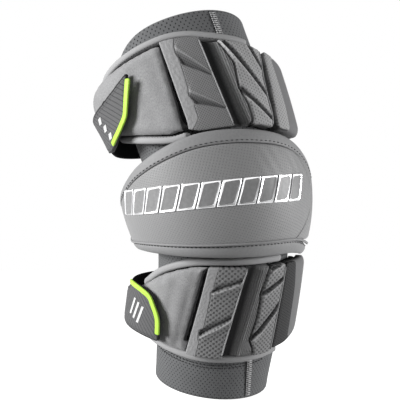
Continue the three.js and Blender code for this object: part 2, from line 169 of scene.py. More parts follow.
@dataclass(frozen=True)
class ArmForm:
    """The form of the arm that holds the pad, as the model's source has it.

    A place on the pad is an angle round the arm in degrees (0 in front, growing towards +X), a station
    along it and a height over the sleeve, both in millimetres.
    """

    upper_reach: float = 144
    lower_reach: float = 165
    cuff: Row = (106, 97)
    elbow: Row = (124, 115)
    top: Row = (130, 121)
    sideways: Bend = Bend(lower=7.2, upper=-20, softness=60, middle=0)
    lean: Bend = Bend(lower=-20, upper=37, softness=120, middle=90)

    @property
    def per_degree(self) -> float:
        """Millimetres to a degree round the elbow."""
        return math.pi * self.elbow[0] / 360

    def half_size(self, station: Array, which: int) -> Array:
        """Half of the sleeve's width (which is 0) or depth (which is 1) at each station."""
        cuff, elbow, top = self.cuff[which], self.elbow[which], self.top[which]
        share = np.where(station > 0, station / self.upper_reach, station / self.lower_reach)
        return (elbow + (top - cuff) / 2 * share + ((top + cuff) / 2 - elbow) * share**2) / 2

    def centre(self, station: Array) -> Array:
        """Points of the arm's centre line."""
        return np.stack([self.sideways.drift(station), self.lean.drift(station), station], axis=-1)

    def axes(self, station: Array) -> tuple[Array, Array, Array]:
        """Directions to the side, to the front and along the arm at each station."""
        along = unit(self.centre(station + 0.5) - self.centre(station - 0.5))
        towards = np.array([0.0, -1.0, 0.0])
        front = unit(towards - along * dot(along, towards)[..., None])
        return np.cross(along, front), front, along

    def place(self, angle: Array, station: Array, height: Array) -> Array:
        """Points at the given angles, stations and heights, as rows of x, y and z."""
        angle, station, height = np.broadcast_arrays(
            *(np.asarray(value, float) for value in (angle, station, height))
        )
        side, front, _ = self.axes(station)
        wide = (self.half_size(station, 0) + height) * np.sin(np.radians(angle))
        deep = (self.half_size(station, 1) + height) * np.cos(np.radians(angle))
        return self.centre(station) + side * wide[..., None] + front * deep[..., None]

    def unwrap(self, points: Array) -> tuple[Array, Array, Array]:
        """Angles, stations and heights of points, which undoes place().

        Args:
            points: Rows of x, y and z in millimetres.

        Returns:
            The angle, station and height of each point.
        """
        station = points[:, 2].copy()
        for _ in range(STATION_ROUNDS):
            side, front, along = self.axes(station)
            station += dot(points - self.centre(station), along)
        off = points - self.centre(station)
        wide, deep = dot(off, side), dot(off, front)
        half_width, half_depth = self.half_size(station, 0), self.half_size(station, 1)
        height = np.zeros_like(station)
        for _ in range(HEIGHT_ROUNDS):
            turn = np.arctan2(wide / (half_width + height), deep / (half_depth + height))
            height = np.hypot(wide, deep) - np.hypot(half_width * np.sin(turn), half_depth * np.cos(turn))
        return np.degrees(turn), station, height


ARM = ArmForm()


@dataclass
class Spots:
    """Places on a flat pattern, one for each vertex.

    Across and along are shares of the patch, rim is the distance to its outline in millimetres.
    """

    across: Array
    along: Array
    angle: Array
    station: Array
    rim: Array

    def pattern(self) -> Array:
        """The places on the flat pattern in millimetres: across the arm, then along it."""
        return np.stack([self.angle * ARM.per_degree, self.station], axis=-1)


@dataclass(frozen=True)
class Patch:
    """Region of the arm. Left and right give the angle of its sides at a share of its length, near and
    far the station of its ends at an angle."""

    left: Line
    right: Line
    near: Line
    far: Line

    def spots(self, across: Array, along: Array, corner: float = 0.01) -> Spots:
        """Places in the patch, with its corners rounded.

        Args:
            across: Shares from the left side to the right one.
            along: Shares from the near end to the far one.
            corner: Radius of the corners in millimetres.

        Returns:
            The places, with their distances to the rounded outline.
        """
        across, along = (np.asarray(share, float) for share in (across, along))
        left, right = self.left(along), self.right(along)
        angle = left + (right - left) * across
        width = (right - left) * ARM.per_degree
        length = np.abs(self.far(angle) - self.near(angle))
        from_side = np.minimum(across, 1 - across) * width
        from_end = np.minimum(along, 1 - along) * length
        in_side, in_end = (np.clip(corner - gap, 0, corner) for gap in (from_side, from_end))
        reach = np.hypot(in_side, in_end)
        pull = 1 - np.where(reach > 0, np.maximum(in_side, in_end) / np.maximum(reach, 1e-9), 1)
        across = across + np.where(across < 0.5, 1, -1) * in_side * pull / width
        along = along + np.where(along < 0.5, 1, -1) * in_end * pull / length
        left, right = self.left(along), self.right(along)
        angle = left + (right - left) * across
        near, far = self.near(angle), self.far(angle)
        return Spots(across, along, angle, near + (far - near) * along, np.minimum(from_side, from_end))


def steady(value: float) -> Line:
    """A line that has the same value everywhere."""
    return lambda at: np.full_like(np.asarray(at, float), value)


def bent(rows: Rows) -> Line:
    """A line of straight stretches through (place, value) rows."""
    places, values = np.array(rows, float).T
    return lambda at: np.interp(at, places, values)


@dataclass(frozen=True)
class Rounding:
    """How a pad's edge turns over: an upright wall, as a share of the thickness, then a round edge."""

    wall: float
    radius: float

    def share(self, rim: Array) -> Array:
        """Height as a share of the thickness, at a distance from the outline."""
        s = np.clip(rim / self.radius, 0, 1)
        return self.wall + (1 - self.wall) * np.sqrt(1 - (1 - s) ** 2)


@dataclass
class Relief:
    """What a pattern adds to a pad: its rise in millimetres, and its painted shade, 0 to 1, which darkens its
    hollows.

    A shade below 0 is a painted highlight on an edge that catches the light, lighter than the cloth.
    """

    rise: Array | float = 0.0
    shade: Array | float = 0.0


def gathered(share: Array, pull: float) -> Array:
    """Even steps from 0 to 1, drawn towards both ends, where edges turn over."""
    return (1 - pull) * share + pull * (1 - np.cos(np.pi * share)) / 2


def take_coords(mesh: bpy.types.Mesh) -> Array:
    """The mesh's vertices as rows of x, y and z."""
    flat = np.empty(len(mesh.vertices) * 3)
    mesh.vertices.foreach_get("co", flat)
    return flat.reshape(-1, 3)


def put_coords(mesh: bpy.types.Mesh, points: Array) -> None:
    """Writes points in millimetres to the mesh, in metres."""
    mesh.vertices.foreach_set("co", (points * MM).ravel())
    mesh.update()


def put_uvs(mesh: bpy.types.Mesh, pattern: Array) -> None:
    """Writes the flat pattern in millimetres as the mesh's UV map, in metres."""
    corners = np.empty(len(mesh.loops), np.int32)
    mesh.loops.foreach_get("vertex_index", corners)
    layer = mesh.uv_layers.new(name=PATTERN_MAP) if not mesh.uv_layers else mesh.uv_layers[0]
    layer.data.foreach_set("uv", (pattern[corners] * MM).astype(np.float32).ravel())


def put_shade(mesh: bpy.types.Mesh, shade: Array) -> None:
    """Writes the painted shade of each vertex, which darkens its hollows, as the mesh's attribute shade."""
    layer = mesh.attributes.new(SHADE_LAYER, "FLOAT", "POINT")
    layer.data.foreach_set("value", np.asarray(shade, np.float32).ravel())


def face_outwards(mesh: bpy.types.Mesh, weld: float = 0.0) -> None:
    """Turns the faces of a closed mesh outwards and shades it smooth.

    Args:
        mesh: The mesh to change.
        weld: Distance in metres under which points are merged first; 0 leaves them.
    """
    bm = bmesh.new()
    bm.from_mesh(mesh)
    if weld:
        bmesh.ops.remove_doubles(bm, verts=bm.verts, dist=weld)
    bmesh.ops.recalc_face_normals(bm, faces=bm.faces)
    for face in bm.faces:
        face.smooth = True
    bm.to_mesh(mesh)
    bm.free()
    mesh.update()


def to_object(name: str, bm: bmesh.types.BMesh) -> bpy.types.Object:
    """Makes an object in the scene from a bmesh, which is freed."""
    mesh = bpy.data.meshes.new(name)
    bm.to_mesh(mesh)
    bm.free()
    piece = bpy.data.objects.new(name, mesh)
    bpy.context.scene.collection.objects.link(piece)
    return piece


def sew_pad(
    name: str,
    patch: Patch,
    cells: tuple[int, int],
    floor: Layer,
    top: Layer,
    rounding: Rounding,
    corner: float = 3.0,
    relief: Callable[[Spots], Relief] | None = None,
    pull: float = 0.75,
) -> bpy.types.Object:
    """Makes a closed pad that fills a patch of the arm from its floor to its top.

    Args:
        name: The object's name.
        patch: Where the pad lies.
        cells: How many cells it has across and along.
        floor: Height of its underside at an angle and station.
        top: Height of its middle at an angle and station.
        rounding: How its edges turn over.
        corner: Radius of its corners.
        relief: What its moulding adds.
        pull: How strongly its rows are drawn towards its edges.

    Returns:
        The pad, with its flat pattern as UV map and the painted shade of its hollows as the attribute shade.
    """
    bm = bmesh.new()
    bmesh.ops.create_grid(bm, x_segments=cells[0], y_segments=cells[1], size=0.5)
    bmesh.ops.translate(bm, verts=bm.verts, vec=(0.5, 0.5, 0))
    raised = bmesh.ops.extrude_face_region(bm, geom=bm.faces[:])["geom"]
    upper = [item for item in raised if isinstance(item, bmesh.types.BMVert)]
    bmesh.ops.translate(bm, verts=upper, vec=(0, 0, 1))
    pad = to_object(name, bm)
    grid = take_coords(pad.data)
    spots = patch.spots(gathered(grid[:, 0], pull), gathered(grid[:, 1], pull), corner)
    low = floor(spots.angle, spots.station)
    moulded = relief(spots) if relief else Relief()
    depth = top(spots.angle, spots.station) - low
    inner = smoothstep(spots.rim, 0, 1.5)
    high = low + depth * rounding.share(spots.rim) + moulded.rise * inner
    on_top = grid[:, 2] > 0.5
    put_uvs(pad.data, spots.pattern())
    put_shade(pad.data, np.where(on_top, moulded.shade, 0.0))
    put_coords(pad.data, ARM.place(spots.angle, spots.station, np.where(on_top, high, low)))
    face_outwards(pad.data)
    return pad


def through(points: Sequence[tuple[float, float, float]]) -> Route:
    """A smooth route through (angle, station, height) points."""
    table = np.array(points, float)
    places = ARM.place(*table.T)
    steps = np.linalg.norm(np.diff(places, axis=0), axis=1)
    shares = np.concatenate([[0], np.cumsum(steps)]) / steps.sum()
    tables = [list(zip(shares, column)) for column in table.T]
    return lambda share: np.stack([follow(rows, share) for rows in tables], axis=-1)


def across_route(route: Route, share: Array, across: Array, up: Array) -> Array:
    """Points beside a route, with the offset laid into the pad's surface.

    Args:
        route: Gives angle, station and height at a share of its length.
        share: Shares of the route, one for each point.
        across: Distances to its right, in millimetres.
        up: Heights over it, in millimetres.

    Returns:
        Rows of x, y and z in millimetres.
    """
    angle, station, height = route(share).T
    ahead, behind = (ARM.place(*route(np.clip(share + step, 0, 1)).T) for step in (0.01, -0.01))
    per_degree = ARM.place(angle + 0.5, station, height) - ARM.place(angle - 0.5, station, height)
    per_step = ARM.place(angle, station + 0.5, height) - ARM.place(angle, station - 0.5, height)
    sideways = unit(np.cross(unit(ahead - behind), np.cross(per_degree, per_step)))
    move = sideways * across[:, None]
    turned = dot(move, per_degree) / dot(per_degree, per_degree)
    moved = dot(move, per_step) / dot(per_step, per_step)
    return ARM.place(angle + turned, station + moved, height + up)


def route_length(route: Route) -> float:
    """Length of a route in millimetres."""
    places = ARM.place(*route(np.linspace(0, 1, 200)).T)
    return float(np.linalg.norm(np.diff(places, axis=0), axis=1).sum())


@dataclass(frozen=True)
class Section:
    """Cross-section of a strip: its width, its height and how square it is, from 0, round, to 1."""

    width: float
    height: float
    square: float = 0.3
    sides: int = 16
    ends: float = 1.5


def sew_strip(name: str, route: Route, section: Section, steps: int) -> bpy.types.Object:
    """Makes a closed strip along a route, standing on it, with rounded ends.

    Args:
        name: The object's name.
        route: Where it runs.
        section: Its cross-section.
        steps: How many lengths it is made of.

    Returns:
        The strip, with its length and width as UV map.
    """
    bm = bmesh.new()
    bmesh.ops.create_cone(bm, cap_ends=True, segments=section.sides, radius1=1, radius2=1, depth=1)
    rails = [edge for edge in bm.edges if abs(edge.verts[0].co.z - edge.verts[1].co.z) > 0.5]
    bmesh.ops.subdivide_edges(bm, edges=rails, cuts=steps - 1)
    strip = to_object(name, bm)
    grid = take_coords(strip.data)
    share = gathered(grid[:, 2] + 0.5, 0.4)
    length = route_length(route)
    power = 1 - 0.75 * section.square
    turn = np.arctan2(grid[:, 1], grid[:, 0])
    wide, tall = (np.sign(wave) * np.abs(wave) ** power for wave in (np.cos(turn), np.sin(turn)))
    from_end = np.clip(np.minimum(share, 1 - share) * length / section.ends, 0, 1)
    slim = 0.35 + 0.65 * np.sqrt(1 - (1 - from_end) ** 2)
    across = wide * slim * section.width / 2
    put_uvs(strip.data, np.stack([across, share * length], axis=-1))
    put_shade(strip.data, np.zeros(len(grid)))
    up = (1 + tall * slim) * section.height / 2
    put_coords(strip.data, across_route(route, share, across, up))
    face_outwards(strip.data)
    return strip


@dataclass(frozen=True)
class Stitch:
    """One kind of stitch: its length, its width, the distance to the next and its slant in degrees."""

    length: float
    width: float
    pitch: float
    slant: float = 0.0
    zigzag: bool = False


def sew_stitches(name: str, rows: Sequence[tuple[Route, Stitch]]) -> bpy.types.Object:
    """Makes rows of stitches as one mesh of small rounded threads.

    Args:
        name: The object's name.
        rows: The routes and the stitch that each is sewn with.

    Returns:
        The threads.
    """
    bm = bmesh.new()
    for route, stitch in rows:
        count = max(2, round(route_length(route) / stitch.pitch))
        share = (np.arange(count) + 0.5) / count
        middle, ahead, over, beside = (
            across_route(route, np.clip(share + step, 0, 1), np.full(count, off), np.full(count, up))
            for step, off, up in ((0, 0, 0), (0.002, 0, 0), (0, 0, 1), (0, 1, 0))
        )
        for k in range(count):
            side, out = Vector(unit(beside[k] - middle[k])), Vector(unit(over[k] - middle[k]))
            travel = out.cross(side).normalized()
            if travel.dot(Vector(ahead[k] - middle[k])) < 0:
                travel.negate()
            lean = math.radians(stitch.slant * (-1 if stitch.zigzag and k % 2 else 1))
            thread = travel * math.cos(lean) + side * math.sin(lean)
            cross = out.cross(thread).normalized()
            sizes = (stitch.length, stitch.width, stitch.width)
            columns = [axis * size for axis, size in zip((thread, cross, out), sizes)]
            turn = Matrix(columns).transposed().to_4x4()
            bmesh.ops.create_icosphere(
                bm, subdivisions=1, radius=0.5, matrix=Matrix.Translation(Vector(middle[k])) @ turn
            )
    threads = to_object(name, bm)
    put_coords(threads.data, take_coords(threads.data))
    face_outwards(threads.data)
    return threads


Colour = tuple[float, float, float]


class Weave(Enum):
    """The surfaces that the pad's materials have."""

    SMOOTH = "smooth"
    HOLES = "holes"
    CELLS = "cells"
    BRUSHED = "brushed"
    RIBBED = "ribbed"
    SLANTED = "slanted"
    GRAINED = "grained"


class NodeSheet:
    """Adds linked nodes to a material, in short calls."""

    def __init__(self, material: bpy.types.Material) -> None:
        """Empties the material's node tree.

        Args:
            material: The material to fill.
        """
        material.use_nodes = True
        self.tree = material.node_tree
        self.tree.nodes.clear()

    def add(self, kind: str, **settings: object) -> bpy.types.Node:
        """Adds one node of a kind, with its own settings."""
        node = self.tree.nodes.new(kind)
        for key, value in settings.items():
            setattr(node, key, value)
        return node

    def feed(self, socket: bpy.types.NodeSocket, value: object) -> None:
        """Links a socket to another one, or sets it to a value."""
        if isinstance(value, bpy.types.NodeSocket):
            self.tree.links.new(value, socket)
        else:
            socket.default_value = value

    def math(self, operation: str, *values: object) -> bpy.types.NodeSocket:
        """Result of a Math node on sockets or numbers."""
        node = self.add("ShaderNodeMath", operation=operation)
        for socket, value in zip(node.inputs, values):
            self.feed(socket, value)
        return node.outputs[0]

    def between(self, value: object, low: float, high: float) -> bpy.types.NodeSocket:
        """A value as a share of the way from low to high, smoothed and kept from 0 to 1."""
        node = self.add("ShaderNodeMapRange", interpolation_type="SMOOTHSTEP", clamp=True)
        self.feed(node.inputs["Value"], value)
        node.inputs["From Min"].default_value = low
        node.inputs["From Max"].default_value = high
        return node.outputs["Result"]

    def blend(self, share: object, one: object, other: object) -> bpy.types.NodeSocket:
        """Mixes two colours by a share."""
        node = self.add("ShaderNodeMix", data_type="RGBA")
        for socket, value in zip((node.inputs[0], node.inputs[6], node.inputs[7]), (share, one, other)):
            self.feed(socket, value)
        return node.outputs[2]

    def noise(self, place: object, size: float, detail: float = 2.0) -> bpy.types.NodeSocket:
        """A cloudy noise whose clouds are about size millimetres across."""
        node = self.add("ShaderNodeTexNoise")
        self.feed(node.inputs["Vector"], place)
        node.inputs["Scale"].default_value = 1 / (size * MM)
        node.inputs["Detail"].default_value = detail
        return node.outputs[0]

    def scaled(self, place: object, size: tuple[float, float, float], turn: float = 0.0) -> object:
        """A place turned about its third axis and counted in steps of size millimetres."""
        node = self.add("ShaderNodeMapping", vector_type="TEXTURE")
        self.feed(node.inputs["Vector"], place)
        node.inputs["Rotation"].default_value = (0, 0, math.radians(turn))
        node.inputs["Scale"].default_value = [step * MM for step in size]
        return node.outputs[0]

    def wave(self, place: object, pitch: float, turn: float) -> bpy.types.NodeSocket:
        """A cosine that repeats every pitch millimetres in the direction turn, in degrees."""
        node = self.add("ShaderNodeSeparateXYZ")
        self.feed(node.inputs[0], self.scaled(place, (pitch, pitch, pitch), turn))
        return self.math("COSINE", self.math("MULTIPLY", node.outputs[0], math.tau))


@dataclass(frozen=True)
class Finish:
    """One of the pad's materials.

    Colour is its own colour and hollow that of its holes or gaps; pitch and depth are the pattern's, in
    millimetres; opening is the range of the pattern's wave over which cloth turns into hole.
    """

    name: str
    slot: str
    colour: Colour
    hollow: Colour
    weave: Weave = Weave.SMOOTH
    pitch: float = 2.0
    depth: float = 0.2
    opening: Row = (0.3, 0.7)
    contrast: float = 1.0
    turn: float = 0.0
    roughness: float = 0.85
    specular: float = 0.3
    sheen: float = 0.0
    metallic: float = 0.0
    mottle: float = 0.12
    mottle_size: float = 9.0
    fuzz: float = 0.05

    def material(self) -> bpy.types.Material:
        """The Blender material, made once."""
        known = bpy.data.materials.get(self.name)
        if known:
            return known
        material = bpy.data.materials.new(self.name)
        sheet = NodeSheet(material)
        uv = sheet.add("ShaderNodeUVMap", uv_map=PATTERN_MAP).outputs[0]
        place = sheet.add("ShaderNodeTexCoord").outputs["Object"]
        hole = self._pattern(sheet, uv)
        colour = self._colour(sheet, place, hole)
        shader = sheet.add("ShaderNodeBsdfPrincipled")
        shader.inputs["Metallic"].default_value = self.metallic
        shader.inputs["Roughness"].default_value = self.roughness
        shader.inputs["Specular IOR Level"].default_value = self.specular
        shader.inputs["Sheen Weight"].default_value = self.sheen
        shader.inputs["Sheen Roughness"].default_value = 0.5
        sheet.feed(shader.inputs["Base Color"], colour)
        sheet.feed(shader.inputs["Normal"], self._bump(sheet, place, hole))
        out = sheet.add("ShaderNodeOutputMaterial")
        sheet.feed(out.inputs["Surface"], shader.outputs[0])
        return material

    def _pattern(self, sheet: NodeSheet, uv: object) -> object:
        """How deep in a hole or gap of the weave a place is, from 0 to 1."""
        low, high = self.opening
        if self.weave in (Weave.HOLES, Weave.GRAINED):
            waves = [sheet.wave(uv, self.pitch, self.turn + turn) for turn in (0, 90)]
            return sheet.between(sheet.math("MULTIPLY", *waves), low, high)
        if self.weave is Weave.CELLS:
            waves = [sheet.wave(uv, self.pitch, self.turn + turn) for turn in (0, 60, 120)]
            total = sheet.math("ADD", sheet.math("ADD", waves[0], waves[1]), waves[2])
            return sheet.between(total, 3 * low, 3 * high)
        if self.weave in (Weave.RIBBED, Weave.SLANTED):
            return sheet.between(sheet.wave(uv, self.pitch, self.turn), low, high)
        if self.weave is Weave.BRUSHED:
            strands = sheet.scaled(uv, (0.6, 1.4, 1.0), self.turn)
            node = sheet.add("ShaderNodeTexNoise")
            sheet.feed(node.inputs["Vector"], strands)
            node.inputs["Scale"].default_value = 1.0
            return sheet.between(node.outputs[0], low, high)
        return sheet.between(sheet.noise(uv, self.pitch), low, high)

    def _colour(self, sheet: NodeSheet, place: object, hole: object) -> object:
        """The weave's two colours, mottled, with painted shade where the piece is cut or pressed in and
        painted highlights on its lit edges.
        """
        woven = sheet.blend(sheet.math("MULTIPLY", hole, self.contrast), (*self.colour, 1), (*self.hollow, 1))
        dark = tuple(channel * (1 - self.mottle) for channel in self.colour)
        cloud = sheet.between(sheet.noise(place, self.mottle_size, 4.0), 0.35, 0.7)
        stained = sheet.blend(sheet.math("MULTIPLY", cloud, self.mottle), woven, (*dark, 1))
        shade = sheet.add("ShaderNodeAttribute", attribute_name=SHADE_LAYER).outputs["Fac"]
        # Painted shade: the shade attribute darkens the colour towards the colour of deep shade
        pressed = sheet.blend(shade, stained, (*PAINTED_SHADE_COLOUR, 1))
        # Painted highlight: a shade below 0 lightens the colour towards a lighter copy of the cloth
        highlit = tuple(min(1.0, HIGHLIGHT_GAIN * channel) for channel in self.colour)
        return sheet.blend(sheet.math("MULTIPLY", shade, -1.0), pressed, (*highlit, 1))

    def _bump(self, sheet: NodeSheet, place: object, hole: object) -> object:
        """The weave's hollows and a fine fuzz as a bump."""
        fuzz = sheet.math("MULTIPLY", sheet.noise(place, 0.5), self.fuzz)
        height = sheet.math("SUBTRACT", fuzz, sheet.math("MULTIPLY", hole, self.depth))
        bump = sheet.add("ShaderNodeBump")
        bump.inputs["Strength"].default_value = 1.0
        bump.inputs["Distance"].default_value = MM
        sheet.feed(bump.inputs["Height"], height)
        return bump.outputs[0]


MESH_KNIT = Finish(
    "mesh_knit", "sleeve_mesh", (0.155, 0.158, 0.162), (0.012, 0.012, 0.013), Weave.HOLES,
    pitch=4.6, depth=0.4, opening=(0.55, 0.85), roughness=0.9, sheen=0.1, mottle=0.25, mottle_size=12,
)
DARK_LINING = Finish(
    "dark_lining", "dark_base", (0.03, 0.03, 0.032), (0.015, 0.015, 0.016), Weave.BRUSHED,
    depth=0.1, roughness=0.95,
)
PLEATED_CLOTH = Finish(
    "pleated_cloth", "dark_base", (0.35, 0.35, 0.353), (0.26, 0.26, 0.262), Weave.BRUSHED,
    depth=0.1, roughness=0.9,
)
BRUSHED_KNIT = Finish(
    "brushed_knit", "knit", (0.37, 0.37, 0.375), (0.2, 0.2, 0.205), Weave.BRUSHED,
    depth=0.1, opening=(0.35, 0.7), contrast=0.6, roughness=0.95, sheen=0.2, mottle=0.35, mottle_size=11,
)
SMOOTH_STRIP = Finish(
    "smooth_strip", "rail", (0.37, 0.37, 0.375), (0.33, 0.33, 0.335), roughness=0.6, fuzz=0.02, mottle=0.06,
)
FINE_MESH = Finish(
    "fine_mesh", "plate_mesh", (0.24, 0.24, 0.243), (0.1, 0.1, 0.102), Weave.HOLES,
    pitch=1.9, depth=0.18, opening=(0.2, 0.8), roughness=0.85,
)
COARSE_MESH = Finish(
    "coarse_mesh", "plate_mesh", (0.27, 0.27, 0.273), (0.06, 0.06, 0.061), Weave.HOLES,
    pitch=4.2, depth=0.35, opening=(-0.2, 0.8), contrast=0.85, turn=0, roughness=0.85,
)
LATTICE_MESH = Finish(
    "lattice_mesh", "plate_mesh", (0.3, 0.3, 0.303), (0.1, 0.1, 0.101), Weave.HOLES,
    pitch=3.8, depth=0.3, opening=(-0.2, 0.8), contrast=0.8, turn=0, roughness=0.85,
)
OPEN_MESH = Finish(
    "open_mesh", "plate_mesh", (0.4, 0.4, 0.403), (0.18, 0.18, 0.181), Weave.CELLS,
    pitch=1.9, depth=0.15, opening=(0.1, 0.7), contrast=0.85, roughness=0.85,
)
SMOOTH_CLOTH = Finish(
    "smooth_cloth", "plate_mesh", (0.18, 0.18, 0.183), (0.155, 0.155, 0.157), Weave.BRUSHED,
    depth=0.04, contrast=0.5, roughness=0.75, mottle=0.1,
)
GREY_MESH = Finish(
    "grey_mesh", "plate_mesh", (0.38, 0.38, 0.382), (0.22, 0.22, 0.221), Weave.CELLS,
    pitch=2.0, depth=0.15, opening=(0.1, 0.6), roughness=0.9,
)
DARK_MESH = Finish(
    "dark_mesh", "plate_mesh", (0.06, 0.06, 0.061), (0.03, 0.03, 0.031), Weave.CELLS,
    pitch=2.0, depth=0.2, opening=(0.1, 0.6), roughness=0.95,
)
SOFT_TAPE = Finish(
    "soft_tape", "tape", (0.41, 0.41, 0.415), (0.32, 0.32, 0.325), Weave.RIBBED,
    pitch=0.9, depth=0.05, opening=(-0.4, 0.9), contrast=0.4, turn=90, roughness=0.8, mottle=0.15,
)
BLACK_WEBBING = Finish(
    "black_webbing", "webbing", (0.012, 0.012, 0.013), (0.004, 0.004, 0.004), Weave.RIBBED,
    pitch=1.3, depth=0.25, opening=(-0.2, 0.9), turn=90, roughness=0.8,
)
TAB_CLOTH = Finish(
    "tab_cloth", "tab_fabric", (0.12, 0.12, 0.123), (0.06, 0.06, 0.062), Weave.SLANTED,
    pitch=3.2, depth=0.25, opening=(0.7, 0.97), turn=40, roughness=0.75,
)
GREEN_TAPE = Finish(
    "green_tape", "trim", (0.56, 0.9, 0.1), (0.4, 0.74, 0.05), Weave.RIBBED,
    pitch=0.8, depth=0.05, opening=(0.0, 0.9), contrast=0.4, turn=90, roughness=0.45, mottle=0.1,
)
GRAINED_SHELL = Finish(
    "grained_shell", "cap", (0.3, 0.3, 0.303), (0.17, 0.17, 0.173), Weave.GRAINED,
    pitch=2.6, depth=0.12, opening=(0.25, 0.9), contrast=0.6, turn=20, roughness=0.5, fuzz=0.03,
    mottle=0.1,
)
CAP_TAPE = Finish(
    "cap_tape", "cap", (0.3, 0.3, 0.304), (0.27, 0.27, 0.274), pitch=1.5, depth=0.03, roughness=0.6,
    fuzz=0.02, mottle=0.06,
)
SILVER = Finish(
    "silver_film", "rail", (0.9, 0.9, 0.91), (0.8, 0.8, 0.81), pitch=6, depth=0.0, roughness=0.32,
    metallic=0.85, fuzz=0.0, mottle=0.4, mottle_size=22,
)
GREY_FILM = Finish(
    "grey_film", "cap", (0.29, 0.29, 0.293), (0.25, 0.25, 0.253), pitch=3, depth=0.02, roughness=0.4,
    fuzz=0.0, mottle=0.05,
)
WHITE_PRINT = Finish(
    "white_print", "tape", (0.8, 0.8, 0.8), (0.7, 0.7, 0.7), pitch=1, depth=0.03, roughness=0.6,
)
SEAM_CLOTH = Finish(
    "seam_cloth", "tape", (0.12, 0.12, 0.122), (0.08, 0.08, 0.082), Weave.BRUSHED, depth=0.05, roughness=0.9,
)
LIGHT_THREAD = Finish(
    "light_thread", "tape", (0.62, 0.62, 0.625), (0.5, 0.5, 0.505), pitch=0.4, depth=0.05, roughness=0.7,
)
DARK_THREAD = Finish(
    "dark_thread", "webbing", (0.03, 0.03, 0.032), (0.02, 0.02, 0.021), pitch=0.4, depth=0.05,
    roughness=0.7,
)


def dress(piece: bpy.types.Object, finish: Finish, *nodes: str) -> bpy.types.Object:
    """Gives a piece its finish and its place in the frame.

    Args:
        piece: The finished mesh.
        finish: Its material.
        nodes: The model's nodes that it stands for.

    Returns:
        The same piece.
    """
    piece.data.materials.append(finish.material())
    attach(piece, ROOT)
    if nodes:
        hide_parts(*nodes)
    log.info("%s: %d faces, %s", piece.name, len(piece.data.polygons), finish.name)
    return piece


def bake(piece: bpy.types.Object) -> None:
    """Applies the piece's modifiers to its mesh."""
    depsgraph = bpy.context.evaluated_depsgraph_get()
    shaped = bpy.data.meshes.new_from_object(piece.evaluated_get(depsgraph))
    piece.modifiers.clear()
    piece.data = shaped


@dataclass(frozen=True)
class Stuffing:
    """How a foam pad is puffed up: cell size of its cloth, pressure in it and how far it may move."""

    cell: float = 3.0
    pressure: float = 4.0
    reach: float = 2.5
    frames: int = 20

    def puff(self, pad: bpy.types.Object, relief: Callable[[Array, Array, Array], Relief]) -> None:
        """Swells a closed pad as cloth over foam, then presses its relief in.

        Args:
            pad: The pad, which gets a new mesh, pattern and painted shade.
            relief: What to add at an angle, a station and a share of the way from wall to top.
        """
        remesh = pad.modifiers.new("cells", "REMESH")
        remesh.mode = "VOXEL"
        remesh.voxel_size = self.cell * MM
        bake(pad)
        flat = take_coords(pad.data) / MM
        _, _, height = ARM.unwrap(flat)
        low, high = np.percentile(height, (2, 98))
        loose = smoothstep(height, low + 0.3 * (high - low), low + 0.7 * (high - low))
        moved = self._simulate(pad)
        move = moved - flat
        far = np.linalg.norm(move, axis=1, keepdims=True)
        move *= np.minimum(1, self.reach / np.maximum(far, 1e-9)) * loose[:, None]
        put_coords(pad.data, flat + move)
        smooth = pad.modifiers.new("smooth", "SUBSURF")
        smooth.levels = smooth.render_levels = 2
        bake(pad)
        angle, station, height = ARM.unwrap(take_coords(pad.data) / MM)
        outer = smoothstep(height, low + 0.4 * (high - low), low + 0.8 * (high - low))
        pressed = relief(angle, station, outer)
        put_coords(pad.data, ARM.place(angle, station, height + pressed.rise * outer))
        put_uvs(pad.data, np.stack([angle * ARM.per_degree, station], axis=-1))
        put_shade(pad.data, pressed.shade)
        face_outwards(pad.data)

    def _simulate(self, pad: bpy.types.Object) -> Array:
        """Runs the cloth and returns where its points end, in millimetres."""
        cloth = pad.modifiers.new("cloth", "CLOTH")
        cloth.settings.quality = 6
        cloth.settings.mass = 0.2
        cloth.settings.tension_stiffness = 12
        cloth.settings.compression_stiffness = 6
        cloth.settings.bending_stiffness = 0.6
        cloth.settings.use_pressure = True
        cloth.settings.uniform_pressure_force = self.pressure
        cloth.settings.effector_weights.gravity = 0
        cloth.point_cache.frame_end = self.frames
        scene = bpy.context.scene
        for number in range(1, self.frames + 1):
            scene.frame_set(number)
        shaped = pad.evaluated_get(bpy.context.evaluated_depsgraph_get()).to_mesh()
        ends = take_coords(shaped) / MM
        pad.modifiers.clear()
        scene.frame_set(1)
        return ends


@dataclass(frozen=True)
class Layers:
    """Thicknesses and gaps of the pad's layers, as the model's source has them."""

    seat_gap: float = 0.65
    layer_gap: float = 0.45
    seam_gap: float = 0.4
    base: float = 6
    wing: float = 9
    strap: float = 1.8
    tab_gap: float = 1.7
    tab: float = 4


LAYERS = Layers()


@dataclass(frozen=True)
class Bar:
    """A slanted bar of a printed or raised pattern: its middle on the flat pattern and its size."""

    across: float
    along: float
    width: float
    height: float
    slant: float


